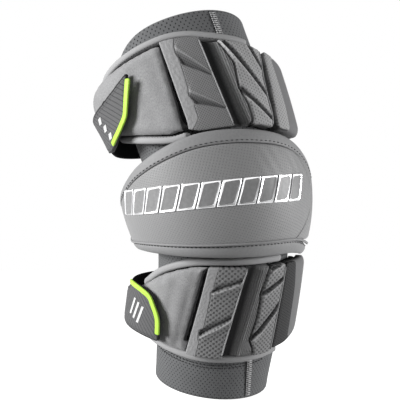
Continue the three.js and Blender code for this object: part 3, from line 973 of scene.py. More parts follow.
def lay_bars(
    name: str, bars: Sequence[Bar], to_spot: Callable[[Array, Array], tuple[Array, Array, Array]],
    thickness: float, rim: float,
) -> bpy.types.Object:
    """Lays flat slanted bars on a surface, each with a raised rim round a sunk face.

    Args:
        name: The object's name.
        bars: The bars, in millimetres on the surface's flat pattern.
        to_spot: Gives the angle, station and height of a place on the flat pattern.
        thickness: How far the rims stand up.
        rim: Width of the rims.

    Returns:
        The bars as one mesh. The sunk faces have material index 1.
    """
    bm = bmesh.new()
    for bar in bars:
        lean = Matrix.Identity(4)
        lean[0][1] = math.tan(math.radians(bar.slant)) * bar.height / bar.width
        size = Matrix.Diagonal((bar.width, bar.height, thickness, 1))
        place = Matrix.Translation((bar.across, bar.along, 0)) @ size @ lean
        made = bmesh.ops.create_cube(bm, size=1, matrix=place)["verts"]
        faces = {face for vert in made for face in vert.link_faces}
        lid = max(faces, key=lambda face: face.calc_center_median().z)
        bmesh.ops.inset_region(bm, faces=[lid], thickness=rim)
        bmesh.ops.translate(bm, verts=lid.verts, vec=(0, 0, -BAR_SINK * thickness))
        lid.material_index = 1
    bmesh.ops.bevel(
        bm, geom=bm.edges[:], offset=BAR_BEVEL * rim, affect="EDGES", segments=1, profile=0.5, material=-1
    )
    bmesh.ops.subdivide_edges(bm, edges=bm.edges[:], cuts=BAR_CUTS, use_grid_fill=True)
    piece = to_object(name, bm)
    flat = take_coords(piece.data)
    angle, station, height = to_spot(flat[:, 0], flat[:, 1])
    put_uvs(piece.data, flat[:, :2])
    put_shade(piece.data, np.zeros(len(flat)))
    put_coords(piece.data, ARM.place(angle, station, height + flat[:, 2]))
    face_outwards(piece.data)
    piece.data.set_sharp_from_angle(angle=math.radians(SHARP_EDGE))
    return piece


@dataclass(frozen=True)
class Plate:
    """A plate's left and right side: rows of its share of the length from the elbow, and the angle."""

    left: Rows
    right: Rows

    def patch(self, panel: "PaddedPanel") -> Patch:
        """The plate's region of a panel."""
        return Patch(bent(self.left), bent(self.right), panel.near_edge, panel.far_edge)


@dataclass(frozen=True)
class Crease:
    """A step across a plate: where it starts and ends, in shares across and along, its width, and how
    it rises and falls across it, in widths and millimetres."""

    start: Row
    end: Row
    width: float
    profile: Rows
    # Painted shade across the step, in widths; below 0 it is a painted highlight
    shadow: Rows
    shade: float = 0.0
    taper: float = 0.4
    beads: float = 0.0

    def press(self, patch: Patch, spots: Spots) -> Relief:
        """What the step adds at each place of a patch."""
        ends = [patch.spots(*share).pattern() for share in (self.start, self.end)]
        way = ends[1] - ends[0]
        length = float(np.linalg.norm(way))
        way = way / length
        away = np.array([-way[1], way[0]])
        if away[1] > 0:
            away = -away
        offset = spots.pattern() - ends[0]
        progress = dot(offset, way) / length
        slim = 1 - self.taper * np.clip(progress, 0, 1)
        there = smoothstep(progress, -0.04, 0.04) * (1 - smoothstep(progress, 0.95, 1.05))
        sideways = dot(offset, away) / (self.width * slim)
        rise = follow(self.profile, sideways) * there * np.sqrt(slim)
        shade = follow(self.shadow, sideways) * there
        # Beads break the painted highlight along the ridge into dots
        if self.beads:
            bead = 0.5 + 0.5 * np.cos(progress * length / self.beads * math.tau)
            shade = np.where(shade < 0, shade * (0.35 + 0.65 * bead), shade)
        return Relief(rise, self.shade * shade)


def add_reliefs(patch: Patch, creases: Sequence[Crease]) -> Callable[[Spots], Relief]:
    """A relief that has all the given steps."""

    def press(spots: Spots) -> Relief:
        """Sums the steps' rises and keeps their darkest painted shade and their lightest painted highlight.
        """
        parts = [crease.press(patch, spots) for crease in creases]
        shades = np.array([part.shade for part in parts])
        shade = np.maximum(shades.max(axis=0), 0) + np.minimum(shades.min(axis=0), 0)
        return Relief(sum(part.rise for part in parts), shade)

    return press


# How a rib and a cut go from one side to the other: distance in widths towards the wrist, height, and
# the painted shade each has there, which below 0 is a painted highlight
RIB_FALLING = [
    (-1.3, 0), (-0.3, 0.5), (0, 1.3), (0.1, 0.9), (0.85, -2.0), (1.0, -2.2), (1.2, -0.2), (1.8, 0),
]
FALLING_SHADOW = [(-0.2, 0), (-0.1, -0.5), (0.02, -0.6), (0.14, 0.3), (0.35, 0.8), (0.95, 1), (1.15, 0)]
RIB_RISING = [(-2.6, 0), (-1.4, -0.3), (-0.2, -2.4), (0.1, -2.5), (0.8, 1.1), (1.5, 0.7), (2.8, 0)]
RISING_SHADOW = [(-1.9, 0), (-0.9, 0.35), (0, 1), (0.35, 0.5), (0.6, 0), (0.8, -0.45), (1.4, -0.3), (2, 0)]
CUT = [(-2.4, 0), (-1.0, 0.2), (-0.55, -2.6), (0.55, -3.0), (1.0, 0.8), (1.6, 0.5), (2.6, 0)]
CUT_SHADOW = [(-1, 0), (-0.6, 0.9), (0, 1), (0.5, 1), (0.8, 0), (1.0, -0.6), (1.4, -0.4), (2, 0)]


@dataclass(frozen=True)
class Tab:
    """Outline of a strap's end: its sides as angles, its edges as shares of the panel's length."""

    left: float
    right: Rows
    near: Rows
    far: Rows
    trim: Sequence[Row]
    badge: Row


@dataclass(frozen=True)
class Tape:
    """Tape along a panel's edge: its node's name, the edge, its first and last angle, its height, and
    how far beyond it rows of dark stitches run on the sleeve."""

    name: str
    edge: str
    first: float
    last: float
    height: float
    beyond: Sequence[float] = ()


@dataclass(frozen=True)
class PaddedPanel:
    """One of the two padded panels, with its plates, wing, tapes, strap and tab."""

    prefix: str
    side: int
    start: float
    end: float
    flare: float
    plate: float
    outer: float
    near: Rows
    far: Rows
    rail: Plate
    front: Plate
    flank: Plate
    outside: Plate
    ribs: Sequence[Crease]
    cuts: Sequence[Crease]
    tab: Tab
    strap: Rows
    tapes: Sequence[Tape]
    valley: float
    marks: Sequence[Bar]
    front_cloth: Finish
    flank_cloth: Finish
    outer_cloth: Finish
    flare_rows: Rows
    groove: float = 8.5
    pleat_pitch: float = 1.4
    pleat_drop: float = 2.6
    tuck: float = 1.5
    tape_width: float = 6.8
    strap_width: float = 34
    strap_lift_off: float = 100
    strap_landing: float = 152
    edge_width: float = 1.3
    roll_start: float = 66
    rim_top: float = 1.6
    slit: Rows = ((0, 0.6), (1, 0.6))

    def station(self, share: Array) -> Array:
        """Station at a share of the panel's length, counted from the elbow."""
        return self.side * (self.start + np.asarray(share) * (self.end - self.start))

    def near_edge(self, angle: Array) -> Array:
        """Station of the edge at the elbow."""
        return self.station(follow(self.near, angle))

    def far_edge(self, angle: Array) -> Array:
        """Station of the edge away from the elbow."""
        return self.station(follow(self.far, angle))

    def swell(self, angle: Array, station: Array) -> Array:
        """How far the panel stands off the arm on the wing's side."""
        share = (np.abs(station) - self.start) / (self.end - self.start)
        return self.flare * smoothstep(-np.asarray(angle, float), 20, 92) * follow(self.flare_rows, share)

    def base_top(self, angle: Array, station: Array) -> Array:
        """Height of the backing's top."""
        return LAYERS.seat_gap + LAYERS.base + 0.3 * self.swell(angle, station)

    def on_base(self, angle: Array, station: Array) -> Array:
        """Height at which what lies on the backing starts."""
        return self.base_top(angle, station) + LAYERS.layer_gap

    def wing_top(self, angle: Array, station: Array) -> Array:
        """Height of the wing's top."""
        return self.on_base(angle, station) + LAYERS.wing + 0.7 * self.swell(angle, station)

    def plate_top(self, angle: Array, station: Array) -> Array:
        """Height of the front and side plates' tops."""
        return self.on_base(angle, station) + self.plate

    def shifted(self, side: Rows, move: float) -> Line:
        """A plate's side moved round the arm by millimetres."""
        return bent([(share, angle + move / ARM.per_degree) for share, angle in side])

    def build(self) -> None:
        """Builds and dresses every piece of the panel."""
        self.build_backing()
        self.build_wing()
        self.build_rail()
        self.build_front()
        self.build_pleats()
        self.build_flank()
        self.build_outside()
        self.build_tapes()
        self.build_strap()
        self.build_tab()

    def build_backing(self) -> None:
        """The dark padded cloth under everything."""
        ends = steady(self.near[0][0]), steady(self.near[-1][0])
        piece = sew_pad(
            f"{self.prefix}_backing",
            Patch(
                *ends, lambda angle: self.near_edge(angle) + self.side * self.tuck,
                lambda angle: self.far_edge(angle) - self.side * self.tuck,
            ),
            (120, 36),
            lambda angle, station: np.full_like(angle, LAYERS.seat_gap), self.base_top,
            Rounding(0.5, 3), corner=6,
        )
        dress(piece, DARK_LINING, f"{self.prefix}_base")

    def build_wing(self) -> None:
        """The brushed knit pad, swollen by its foam, with a valley beside the slit."""
        rail, slit = bent(self.rail.left), bent(self.slit)
        patch = Patch(
            steady(self.near[0][0]), lambda along: rail(along) - slit(along) / ARM.per_degree,
            self.near_edge, self.far_edge,
        )
        pad = sew_pad(
            f"{self.prefix}_wing_pad", patch, (90, 66), self.on_base,
            lambda angle, station: self.wing_top(angle, station) - 1.2, Rounding(0.6, 5), corner=1.2,
        )

        def relief(angle: Array, station: Array, outer: Array) -> Relief:
            """Valleys and a roll that run along the slit, with painted shade in the valleys and on the slit's
            wall.
            """
            along = (np.abs(station) - self.start) / (self.end - self.start)
            edge = rail(along)
            wall = edge - slit(along) / ARM.per_degree
            streaks = 0.75 + 0.25 * np.sin(station / 7)
            valley = hump(angle, edge - self.valley, 3.4) * streaks
            far_valley = hump(angle, edge - 2.4 * self.valley, 4.0)
            rise = 0.6 * hump(angle, edge - 4.2, 2.0) - 2.4 * valley - 0.9 * far_valley
            # Painted shade in the valleys, and painted shade on the wing's wall where it shows in the slit
            dark = smoothstep(angle, wall - 1.6, wall - 0.7) * (1 - smoothstep(outer, 0.7, 0.98))
            return Relief(rise, np.maximum((0.42 * valley + 0.15 * far_valley) * outer, 0.95 * dark))

        Stuffing().puff(pad, relief)
        dress(pad, BRUSHED_KNIT, f"{self.prefix}_wing")

    def build_rail(self) -> None:
        """The smooth light strip beside the slit."""
        piece = sew_pad(
            f"{self.prefix}_rail_strip", self.rail.patch(self), (14, 160), self.on_base, self.plate_top,
            Rounding(0.97, 0.8), corner=0.4, pull=0.3,
        )
        dress(piece, SMOOTH_STRIP, f"{self.prefix}_rail")

    def build_front(self) -> None:
        """The front plate with its ribs, and the thin light edge on its right."""
        patch = self.front.patch(self)
        piece = sew_pad(
            f"{self.prefix}_front_pad", patch, (80, 200), self.on_base, self.plate_top,
            Rounding(0.96, 0.8), corner=0.6, relief=add_reliefs(patch, self.ribs), pull=0.4,
        )
        dress(piece, self.front_cloth, f"{self.prefix}_front_plate")
        self.build_edge("front_edge", patch)

    def build_edge(self, name: str, patch: Patch) -> None:
        """A thin light line along a plate's right side."""
        spots = patch.spots(np.full(SHORT_LINE, 0.985), np.linspace(0.03, 0.97, SHORT_LINE))
        height = self.plate_top(spots.angle, spots.station) - 1.6
        points = list(zip(spots.angle, spots.station, height))
        edge = sew_strip(
            f"{self.prefix}_{name}", through(points), Section(self.edge_width, 2.1, sides=10), 60
        )
        dress(edge, SMOOTH_STRIP)

    def build_pleats(self) -> None:
        """The cloth that climbs in pleats from the groove to the side plate, with painted shade in the groove
        and between the pleats.
        """
        sides = self.shifted(self.front.right, 0.6), self.shifted(self.flank.left, -0.3)

        def relief(spots: Spots) -> Relief:
            """A floor with a painted shadow beside the straight edge, then fine pleats with painted shade
            between them that climb to the side plate.
            """
            out = (spots.angle - sides[0](spots.along)) * ARM.per_degree
            climb = (self.plate - self.pleat_drop) * smoothstep(out, self.groove - 4, self.groove + 5)
            wave = np.sin(out / self.pleat_pitch * math.tau + 0.4 * np.sin(spots.station / 9))
            pleated = smoothstep(out, self.groove - 3, self.groove + 1)
            # Painted shadow of the front plate's edge on the floor, and painted shade in the hollows between
            # the pleats
            dark = 0.88 * (1 - smoothstep(out, self.groove - 3, self.groove + 1.5))
            return Relief(climb + 0.3 * wave * pleated, np.maximum(dark, 0.22 * (0.4 - wave) * pleated))

        piece = sew_pad(
            f"{self.prefix}_pleats", Patch(*sides, self.near_edge, self.far_edge), (170, 60),
            self.on_base, lambda angle, station: self.on_base(angle, station) + 1.2, Rounding(0.6, 0.8),
            corner=0.8, relief=relief, pull=0.1,
        )
        dress(piece, PLEATED_CLOTH)

    def build_flank(self) -> None:
        """The side plate with its slanted cuts, and the light line on its right."""
        patch = self.flank.patch(self)
        piece = sew_pad(
            f"{self.prefix}_flank_pad", patch, (100, 180), self.on_base, self.plate_top,
            Rounding(0.75, 1.6), corner=1.2, relief=add_reliefs(patch, self.cuts), pull=0.25,
        )
        dress(piece, self.flank_cloth, f"{self.prefix}_side_plate")
        self.build_edge("flank_edge", patch)

    def build_outside(self) -> None:
        """The outer plate: a smooth roll round its side and end, and the dark mesh face set in it."""
        patch = self.outside.patch(self)
        roll = sew_pad(
            f"{self.prefix}_outer_roll", patch, (70, 70), self.on_base,
            lambda angle, station: self.on_base(angle, station) + self.outer, Rounding(0.55, 7), corner=6,
        )
        dress(roll, SMOOTH_CLOTH, f"{self.prefix}_outer_plate")
        face = Patch(
            patch.left, bent([(0, self.roll_start - 4), (0.3, self.roll_start), (1, self.roll_start + 2)]),
            self.near_edge, lambda angle: self.far_edge(angle) - self.side * self.rim_top,
        )

        def bulge(angle: Array, station: Array) -> Array:
            """Height of the face, which sinks towards its seam with the roll."""
            edge = smoothstep(angle, self.roll_start - 9, self.roll_start + 2)
            return self.on_base(angle, station) + self.outer + 0.5 - 0.7 * edge

        piece = sew_pad(
            f"{self.prefix}_outer_face", face, (50, 60), lambda angle, station: bulge(angle, station) - 3,
            bulge, Rounding(0.55, 2.5), corner=2.5,
        )
        dress(piece, self.outer_cloth)

    def tape_route(self, tape: Tape) -> Route:
        """Where a tape runs: just outside its edge."""
        edge, away = (self.near_edge, -self.side) if tape.edge == "near" else (self.far_edge, self.side)
        angle = np.linspace(tape.first, tape.last, LONG_SEAM)
        slant = (edge(angle + 1) - edge(angle - 1)) / (2 * ARM.per_degree)
        gap = self.tape_width / 2 + LAYERS.seam_gap
        station = edge(angle) + away * gap * np.hypot(1, slant)
        return through(list(zip(angle, station, np.full_like(angle, LAYERS.seat_gap))))

    def build_tapes(self) -> None:
        """The tapes along the edges and the stitches that hold them."""
        for tape in self.tapes:
            route = self.tape_route(tape)
            strip = sew_strip(
                f"{self.prefix}_{tape.name.replace('binding', 'tape')}", route,
                Section(self.tape_width, tape.height, square=0.45, sides=24, ends=3), 120,
            )
            dress(strip, SOFT_TAPE, f"{self.prefix}_{tape.name}")
            inwards = 1 if (tape.edge == "near") == (self.side > 0) else -1
            points = route(np.linspace(0.01, 0.99, LONG_SEAM))
            points[:, 1] += inwards * (self.tape_width / 2 - 1.0)
            points[:, 2] = tape.height - 0.8
            threads = sew_stitches(
                f"{self.prefix}_{tape.name.replace('binding', 'stitches')}",
                [(through([tuple(point) for point in points]), Stitch(2.0, 0.55, 3.0))],
            )
            dress(threads, DARK_THREAD)
            if tape.beyond:
                self.sew_dashes(tape)

    def sew_dashes(self, tape: Tape) -> None:
        """The rows of dark stitches that show on the sleeve beyond a tape."""
        away = -self.side if tape.edge == "near" else self.side
        rows = []
        for beyond in tape.beyond:
            points = self.tape_route(tape)(np.linspace(0.02, 0.98, LONG_SEAM))
            points[:, 1] += away * (self.tape_width / 2 + beyond)
            points[:, 2] = 0.3
            rows.append((through([tuple(point) for point in points]), Stitch(2.4, 1.0, 3.4)))
        dress(sew_stitches(f"{self.prefix}_{tape.name}_dashes", rows), DARK_THREAD)

    def build_strap(self) -> None:
        """The black elastic strap round the back."""
        angle = np.linspace(self.strap[-1][0], self.strap[0][0], LONG_SEAM)
        lift = 1 - smoothstep(-angle, self.strap_lift_off, self.strap_landing)
        station = self.station(follow(self.strap, angle))
        height = LAYERS.seat_gap + lift * self.wing_top(angle, station)
        strap = sew_strip(
            f"{self.prefix}_strap_webbing", through(list(zip(angle, station, height))),
            Section(self.strap_width, LAYERS.strap, square=0.9, sides=32, ends=1), 160,
        )
        dress(strap, BLACK_WEBBING, f"{self.prefix}_strap")

    def tab_floor(self, angle: Array, station: Array) -> Array:
        """Height at which the tab lies on its strap."""
        return self.wing_top(angle, station) + LAYERS.strap + LAYERS.tab_gap

    def build_tab(self) -> None:
        """The strap's end patch with its green edge, its dark outline and its white bars."""
        patch = Patch(
            steady(self.tab.left), bent(self.tab.right),
            lambda angle: self.station(bent(self.tab.near)(angle)),
            lambda angle: self.station(bent(self.tab.far)(angle)),
        )

        def outline(spots: Spots) -> Relief:
            """A pressed line of stitches in from the tab's dark edge."""
            stitches = 0.5 + 0.5 * np.sin((spots.angle * ARM.per_degree + spots.station) / 2.6 * math.tau)
            line = hump(spots.rim, 3.0, 0.6)
            dark = 0.9 * (1 - smoothstep(spots.rim, 1.0, 1.8)) + 0.7 * line * stitches
            return Relief(-0.5 * hump(spots.rim, 1.6, 0.7) - 0.3 * line, dark)

        piece = sew_pad(
            f"{self.prefix}_tab_patch", patch, (70, 50), self.tab_floor,
            lambda angle, station: self.tab_floor(angle, station) + LAYERS.tab - 0.8, Rounding(0.5, 1.5),
            corner=3, relief=outline,
        )
        dress(piece, TAB_CLOTH, f"{self.prefix}_tab")
        points = [
            (angle, self.station(share), self.tab_floor(angle, self.station(share)) + LAYERS.tab - 1.2)
            for angle, share in self.tab.trim
        ]
        trim = sew_strip(
            f"{self.prefix}_tab_edge", through(points), Section(5.0, 2.4, square=0.6, ends=1.5), 120
        )
        dress(trim, GREEN_TAPE, f"{self.prefix}_tab_trim")

        def to_spot(across: Array, along: Array) -> tuple[Array, Array, Array]:
            """Place on the tab's face, from millimetres about its middle."""
            angle = self.tab.badge[0] + across / (TAB_SPREAD * ARM.per_degree)
            station = self.station(self.tab.badge[1]) + along
            return angle, station, self.tab_floor(angle, station) + LAYERS.tab - 0.55

        bars = lay_bars(f"{self.prefix}_tab_bars", self.marks, to_spot, 0.35, 0.3)
        bars.data.materials.append(WHITE_PRINT.material())
        dress(bars, WHITE_PRINT)


def falling(start: Row, end: Row, width: float) -> Crease:
    """A step down towards the wrist that narrows to its right end, with a painted highlight on its ridge and
    painted shade on its falling side.
    """
    return Crease(start, end, width, RIB_FALLING, FALLING_SHADOW, shade=0.6, taper=0.85, beads=1.9)


def rising(start: Row, end: Row, width: float) -> Crease:
    """A fold with painted shade in it and a round ridge under it with a painted highlight."""
    return Crease(start, end, width, RIB_RISING, RISING_SHADOW, shade=0.6, taper=0.3)


def cut(start: Row, end: Row) -> Crease:
    """A cut of even width, with painted shade in it and a painted highlight on the ridge beside it."""
    return Crease(start, end, 2.2, CUT, CUT_SHADOW, shade=0.7, taper=0.2)


UPPER_PANEL = PaddedPanel(
    prefix="upper", side=1, start=57, end=123, flare=10, plate=10, outer=12,
    near=[
        (-100, 0.5), (-84, 0.4), (-64, 0.3), (-39, 0.17), (-23, 0.1), (-11, 0.09), (-3, 0.04), (18, 0),
        (34, -0.04), (52, -0.13), (70, -0.2), (100, -0.26),
    ],
    far=[
        (-100, 0.93), (-77, 1), (-11, 1), (6, 0.96), (21, 0.89), (46, 0.79), (55, 0.74), (75, 0.68),
        (100, 0.62),
    ],
    rail=Plate(
        [(0, -10), (0.08, -9.6), (0.4, -10.2), (1, -10.7)],
        [
            (0, -7.5), (0.13, -2.3), (0.31, -2.2), (0.37, -3.8), (0.46, -2.7), (0.75, -2.1), (0.84, -3.3),
            (0.92, -2.6), (1, -1),
        ],
    ),
    front=Plate(
        [
            (0, -7.4), (0.13, -2.2), (0.31, -2.1), (0.37, -3.7), (0.46, -2.6), (0.75, -2.0), (0.84, -3.2),
            (0.92, -2.5), (1, -0.9),
        ],
        [(0, 18), (0.24, 16.3), (0.61, 14.5), (1, 13.2)],
    ),
    flank=Plate(
        [
            (0, 30.8), (0.07, 32.6), (0.24, 32.5), (0.42, 29.4), (0.72, 31.7), (0.98, 25.6), (1, 25.6),
        ],
        [(0, 46.2), (0.18, 48.7), (0.36, 48.8), (0.64, 51), (0.93, 55.5), (1, 55.5)],
    ),
    outside=Plate([(0, 49.2), (1, 57.2)], [(0, 98), (1, 98)]),
    slit=[(0, 0.3), (0.03, 0.6), (0.09, 4.3), (0.4, 2.6), (0.7, 1.7), (0.97, 0.5), (1, 0.5)],
    ribs=[
        falling((0.0, 0.9), (1.0, 0.575), 8.2),
        falling((0.0, 0.425), (1.0, 0.205), 7.2),
    ],
    cuts=[
        cut((0.08, 1.0), (1, 0.37)), cut((0.68, 1.0), (1, 0.70)), cut((0, 0.42), (1, 0.09)),
    ],
    front_cloth=FINE_MESH,
    flank_cloth=OPEN_MESH,
    outer_cloth=GREY_MESH,
    flare_rows=[(0, 0.15), (0.2, 0.3), (0.4, 0.46), (0.6, 0.7), (0.8, 1), (1, 1)],
    tab=Tab(
        -112, [(0, -44.5), (1, -34.5)],
        [(-112, 0.3), (-84, 0.2), (-75, 0.18), (-67, 0.21), (-55, 0.32), (-44, 0.45), (-33, 0.55)],
        [(-112, 0.67), (-88, 0.7), (-70, 0.705), (-60, 0.715), (-49, 0.76), (-35, 0.85)],
        trim=[
            (-66.5, 0.24), (-60.5, 0.285), (-55, 0.33), (-47.4, 0.415), (-45.2, 0.45), (-43.4, 0.5),
            (-39.6, 0.62), (-36.8, 0.71), (-34.8, 0.775),
        ],
        badge=(-66, 0.46),
    ),
    strap=[(-258.5, 0.25), (-180, 0.28), (-140, 0.35), (-112, 0.43), (-97, 0.47), (-62, 0.56)],
    tapes=[
        Tape("top_binding", "far", -98, 50, 13),
        Tape("wing_binding", "near", -92, -12, 12),
    ],
    valley=9,
    marks=[Bar(-7, 7.5, 6, 4.6, 30), Bar(-3.6, 0, 6, 4.6, 30), Bar(-0.2, -7.5, 6, 4.6, 30)],
)

LOWER_PANEL = PaddedPanel(
    prefix="lower", side=-1, start=42, end=119, flare=4.5, plate=9.5, outer=8.5,
    near=[
        (-100, 0.6), (-71, 0.4), (-48, 0.18), (-30, 0.06), (-15, 0.01), (10, 0), (45, 0), (92, 0.04),
    ],
    far=[(-100, 0.97), (-42, 1), (-10, 1.02), (30, 0.98), (55, 0.93), (92, 0.88)],
    rail=Plate(
        [(0, -10), (0.41, -14.8), (0.83, -19.9), (1, -22)],
        [
            (0, -2.8), (0.08, -4.3), (0.23, -5.9), (0.26, -7.6), (0.34, -7.3), (0.66, -10), (0.69, -13.2),
            (0.78, -13.6), (0.85, -12.5), (1, -14),
        ],
    ),
    front=Plate(
        [
            (0, -2.7), (0.08, -4.2), (0.23, -5.8), (0.26, -7.5), (0.34, -7.2), (0.66, -9.9), (0.69, -13.1),
            (0.78, -13.5), (0.85, -12.4), (1, -13.9),
        ],
        [(0, 16.5), (0.17, 13.6), (0.5, 9.5), (0.91, 5.1), (1, 4.4)],
    ),
    flank=Plate(
        [(0, 34.6), (0.04, 33.2), (0.29, 28), (0.35, 28.6), (0.57, 27.4), (0.8, 24), (0.92, 27.6), (1, 28)],
        [(0, 46.9), (0.22, 45.8), (0.47, 44.2), (0.81, 43), (1, 42.4)],
    ),
    outside=Plate([(0, 48.3), (0.5, 46), (1, 44.6)], [(0, 90), (1, 90)]),
    slit=[(0, 0.4), (0.02, 0.5), (0.05, 2.8), (0.84, 4.0), (0.88, 4.0), (0.9, 0.5), (1, 0.4)],
    ribs=[
        rising((0.0, 0.25), (1.0, 0.13), 2.9),
        rising((0.0, 0.745), (1.0, 0.53), 3.2),
    ],
    cuts=[cut((0, 0.03), (0.9, -0.03)), cut((0, 0.29), (0.95, 0.15)), cut((0, 0.8), (1, 0.42))],
    front_cloth=COARSE_MESH,
    flank_cloth=LATTICE_MESH,
    outer_cloth=DARK_MESH,
    flare_rows=[(0, 1), (0.4, 1), (0.95, 1.9), (1, 1.9)],
    roll_start=64.5,
    tab=Tab(
        -106, [(0, -48.5), (0.42, -41.3), (1, -40.8)],
        [(-106, 0.62), (-90, 0.56), (-80, 0.47), (-73, 0.385), (-60, 0.37), (-50, 0.41), (-41, 0.46)],
        [(-106, 0.92), (-76, 0.95), (-58, 0.94), (-41, 0.94)],
        trim=[
            (-73.5, 0.38), (-66, 0.385), (-59, 0.395), (-51.6, 0.425), (-48.6, 0.46), (-46.3, 0.52),
            (-43.8, 0.59), (-41.8, 0.67), (-41.2, 0.76), (-41, 0.85),
        ],
        badge=(-63, 0.68),
    ),
    strap=[(-266.5, 0.57), (-180, 0.62), (-140, 0.68), (-110, 0.71), (-57, 0.69)],
    tapes=[
        Tape("top_binding", "near", -92, 46, 12),
        Tape("bottom_binding", "far", -96, 56, 11, beyond=(5.8, 8.4)),
    ],
    valley=9,
    marks=[Bar(-7, 2, 3.4, 17, 22), Bar(0, 0, 3.4, 17, 22), Bar(7, -2, 3.4, 17, 22)],
)


@dataclass(frozen=True)
class ElbowCap:
    """The moulded cap over the elbow: foam, shell, bands, hem roll, cord and a row of slanted bars."""

    up: float = 58
    down: float = 33
    side_height: float = 25
    front_rise: float = 6
    sway: float = 3
    fall: float = 6
    shell: float = 3.2
    band: float = 9
    hem: float = 10.5
    left: float = -96
    right: float = 92
    notch: float = 6
    seam: Rows = ((0, 49), (0.2, 60), (0.45, 68), (0.7, 70), (0.88, 64), (1, 53))
    top_rows: Rows = (
        (-98, -0.02), (-90, 0.2), (-75, 0.5), (-60, 0.71), (-48, 0.84), (-30, 0.95), (-10, 1), (8, 0.97),
        (30, 0.87), (44, 0.78), (56, 0.66), (68, 0.48), (82, 0.24), (94, 0),
    )
    bottom_rows: Rows = (
        (-98, -0.9), (-90, -1.1), (-75, -1.15), (-60, -1.07), (-40, -1), (0, -0.97), (46, -1.03),
        (60, -1.12), (72, -1.22), (84, -1.26), (94, -1.2),
    )
    per_degree: float = 1.6
    bar_rows: Rows = ((-66, 19.2), (-41, 19.3), (-25, 18.8), (-3, 16.9), (18, 14.4), (38, 11.3), (53, 9.2))
    bar_scale: Rows = ((-66, 1.35), (-41, 1.12), (-3, 0.9), (53, 0.82))
    bar_count: int = 11
    bar_gap: float = 1.4
    bar_height: float = 20
    bar_rim: float = 2.6
    bar_slant: float = 24

    def top(self, angle: Array) -> Array:
        """Station of the cap's upper edge."""
        return self.up * follow(self.top_rows, angle)

    def bottom(self, angle: Array) -> Array:
        """Station of the cap's lower edge."""
        return self.down * follow(self.bottom_rows, angle)

    def height(self, angle: Array, station: Array) -> Array:
        """Height of the cap's outside."""
        turn = np.radians(angle)
        fall = self.fall * ((station - (self.up - self.down) / 2) / ((self.up + self.down) / 2)) ** 2
        return self.side_height + self.front_rise * np.cos(turn) - self.sway * np.sin(turn) - fall

    def inside(self, angle: Array, station: Array) -> Array:
        """Height of the shell's inside."""
        return self.height(angle, station) - self.shell

    def band_edge(self, angle: Array) -> Array:
        """Station where the upper band meets the face."""
        return self.top(angle) - self.band * (1 - 0.3 * np.abs(angle / self.left) ** 2)

    def hem_edge(self, angle: Array) -> Array:
        """Station where the hem roll meets the face."""
        return self.bottom(angle) + self.hem * (1 - 0.6 * np.abs(angle / self.left) ** 3)

    def face_bottom(self, angle: Array) -> Array:
        """Station of the face's lower edge, which leaves a notch at the side."""
        rise = self.notch * smoothstep(angle, self.seam[0][1], self.right)
        return self.hem_edge(angle) + LAYERS.seam_gap + rise

    def face_top(self, angle: Array) -> Array:
        """Station of the face's upper edge."""
        return self.band_edge(angle) - LAYERS.seam_gap

    def seam_angle(self, along: Array) -> Array:
        """Angle of the seam between the face and the side strip."""
        return follow(self.seam, along)

    def build(self) -> None:
        """Builds and dresses every piece of the cap."""
        self.build_foam()
        self.build_face()
        self.build_bands()
        self.build_cord_and_stitches()
        self.build_bars()

    def build_foam(self) -> None:
        """The foam under the shell."""
        patch = Patch(
            steady(self.left), steady(self.right), lambda angle: self.bottom(angle) + 1,
            lambda angle: self.top(angle) - 1,
        )
        foam = sew_pad(
            "cap_foam", patch, (120, 40), lambda angle, station: np.full_like(angle, LAYERS.seat_gap),
            lambda angle, station: self.inside(angle, station) - LAYERS.seat_gap, Rounding(0.7, 5),
            corner=6,
        )
        dress(foam, DARK_LINING, "cap_liner")

    def build_face(self) -> None:
        """The grained face and the strip at its side, which meet at a curved seam."""
        face = Patch(steady(self.left), self.seam_angle, self.face_bottom, self.face_top)

        def folds(spots: Spots) -> Relief:
            """Faint folds at the right of the brow."""
            there = hump(spots.angle, 42, 16) * hump(spots.along, 0.85, 0.3)
            waves = np.sin((spots.angle + 0.35 * spots.station) / 6.5 * math.tau)
            return Relief(0.3 * waves * there)

        shell = sew_pad(
            "cap_shell", face, (170, 90), self.inside, self.height, Rounding(0.6, 1.6), corner=1.5,
            relief=folds, pull=0.6,
        )
        dress(shell, GRAINED_SHELL, "cap_face")
        gap = LAYERS.seam_gap / ARM.per_degree
        side = Patch(
            lambda along: self.seam_angle(along) + gap, steady(self.right), self.face_bottom,
            self.face_top,
        )
        strip = sew_pad(
            "cap_side_panel", side, (36, 80), self.inside, self.height, Rounding(0.6, 1.8), corner=2,
        )
        dress(strip, GRAINED_SHELL, "cap_side_strip")

    def build_bands(self) -> None:
        """The band along the brow and the rolled hem below."""
        sides = steady(self.left), steady(self.right)
        brow = sew_pad(
            "cap_brow_band", Patch(*sides, self.band_edge, self.top), (170, 16), self.inside, self.height,
            Rounding(0.45, 2.6), corner=2,
        )
        dress(brow, CAP_TAPE, "cap_top_band")
        hem = sew_pad(
            "cap_hem_roll", Patch(*sides, self.bottom, self.hem_edge), (170, 18), self.inside, self.height,
            Rounding(0.2, 5), corner=3,
        )
        dress(hem, CAP_TAPE, "cap_bottom_band")

    def edge_route(self, edge: Line, shift: float, over: float, first: float, last: float) -> Route:
        """A route along one of the cap's seams.

        Args:
            edge: Station of the seam at an angle.
            shift: Distance from it towards the shoulder.
            over: Height over the cap.
            first: The route's first angle.
            last: The route's last angle.

        Returns:
            The route.
        """
        angle = np.linspace(first, last, CAP_SEAM)
        station = edge(angle) + shift
        return through(list(zip(angle, station, self.height(angle, station) + over)))

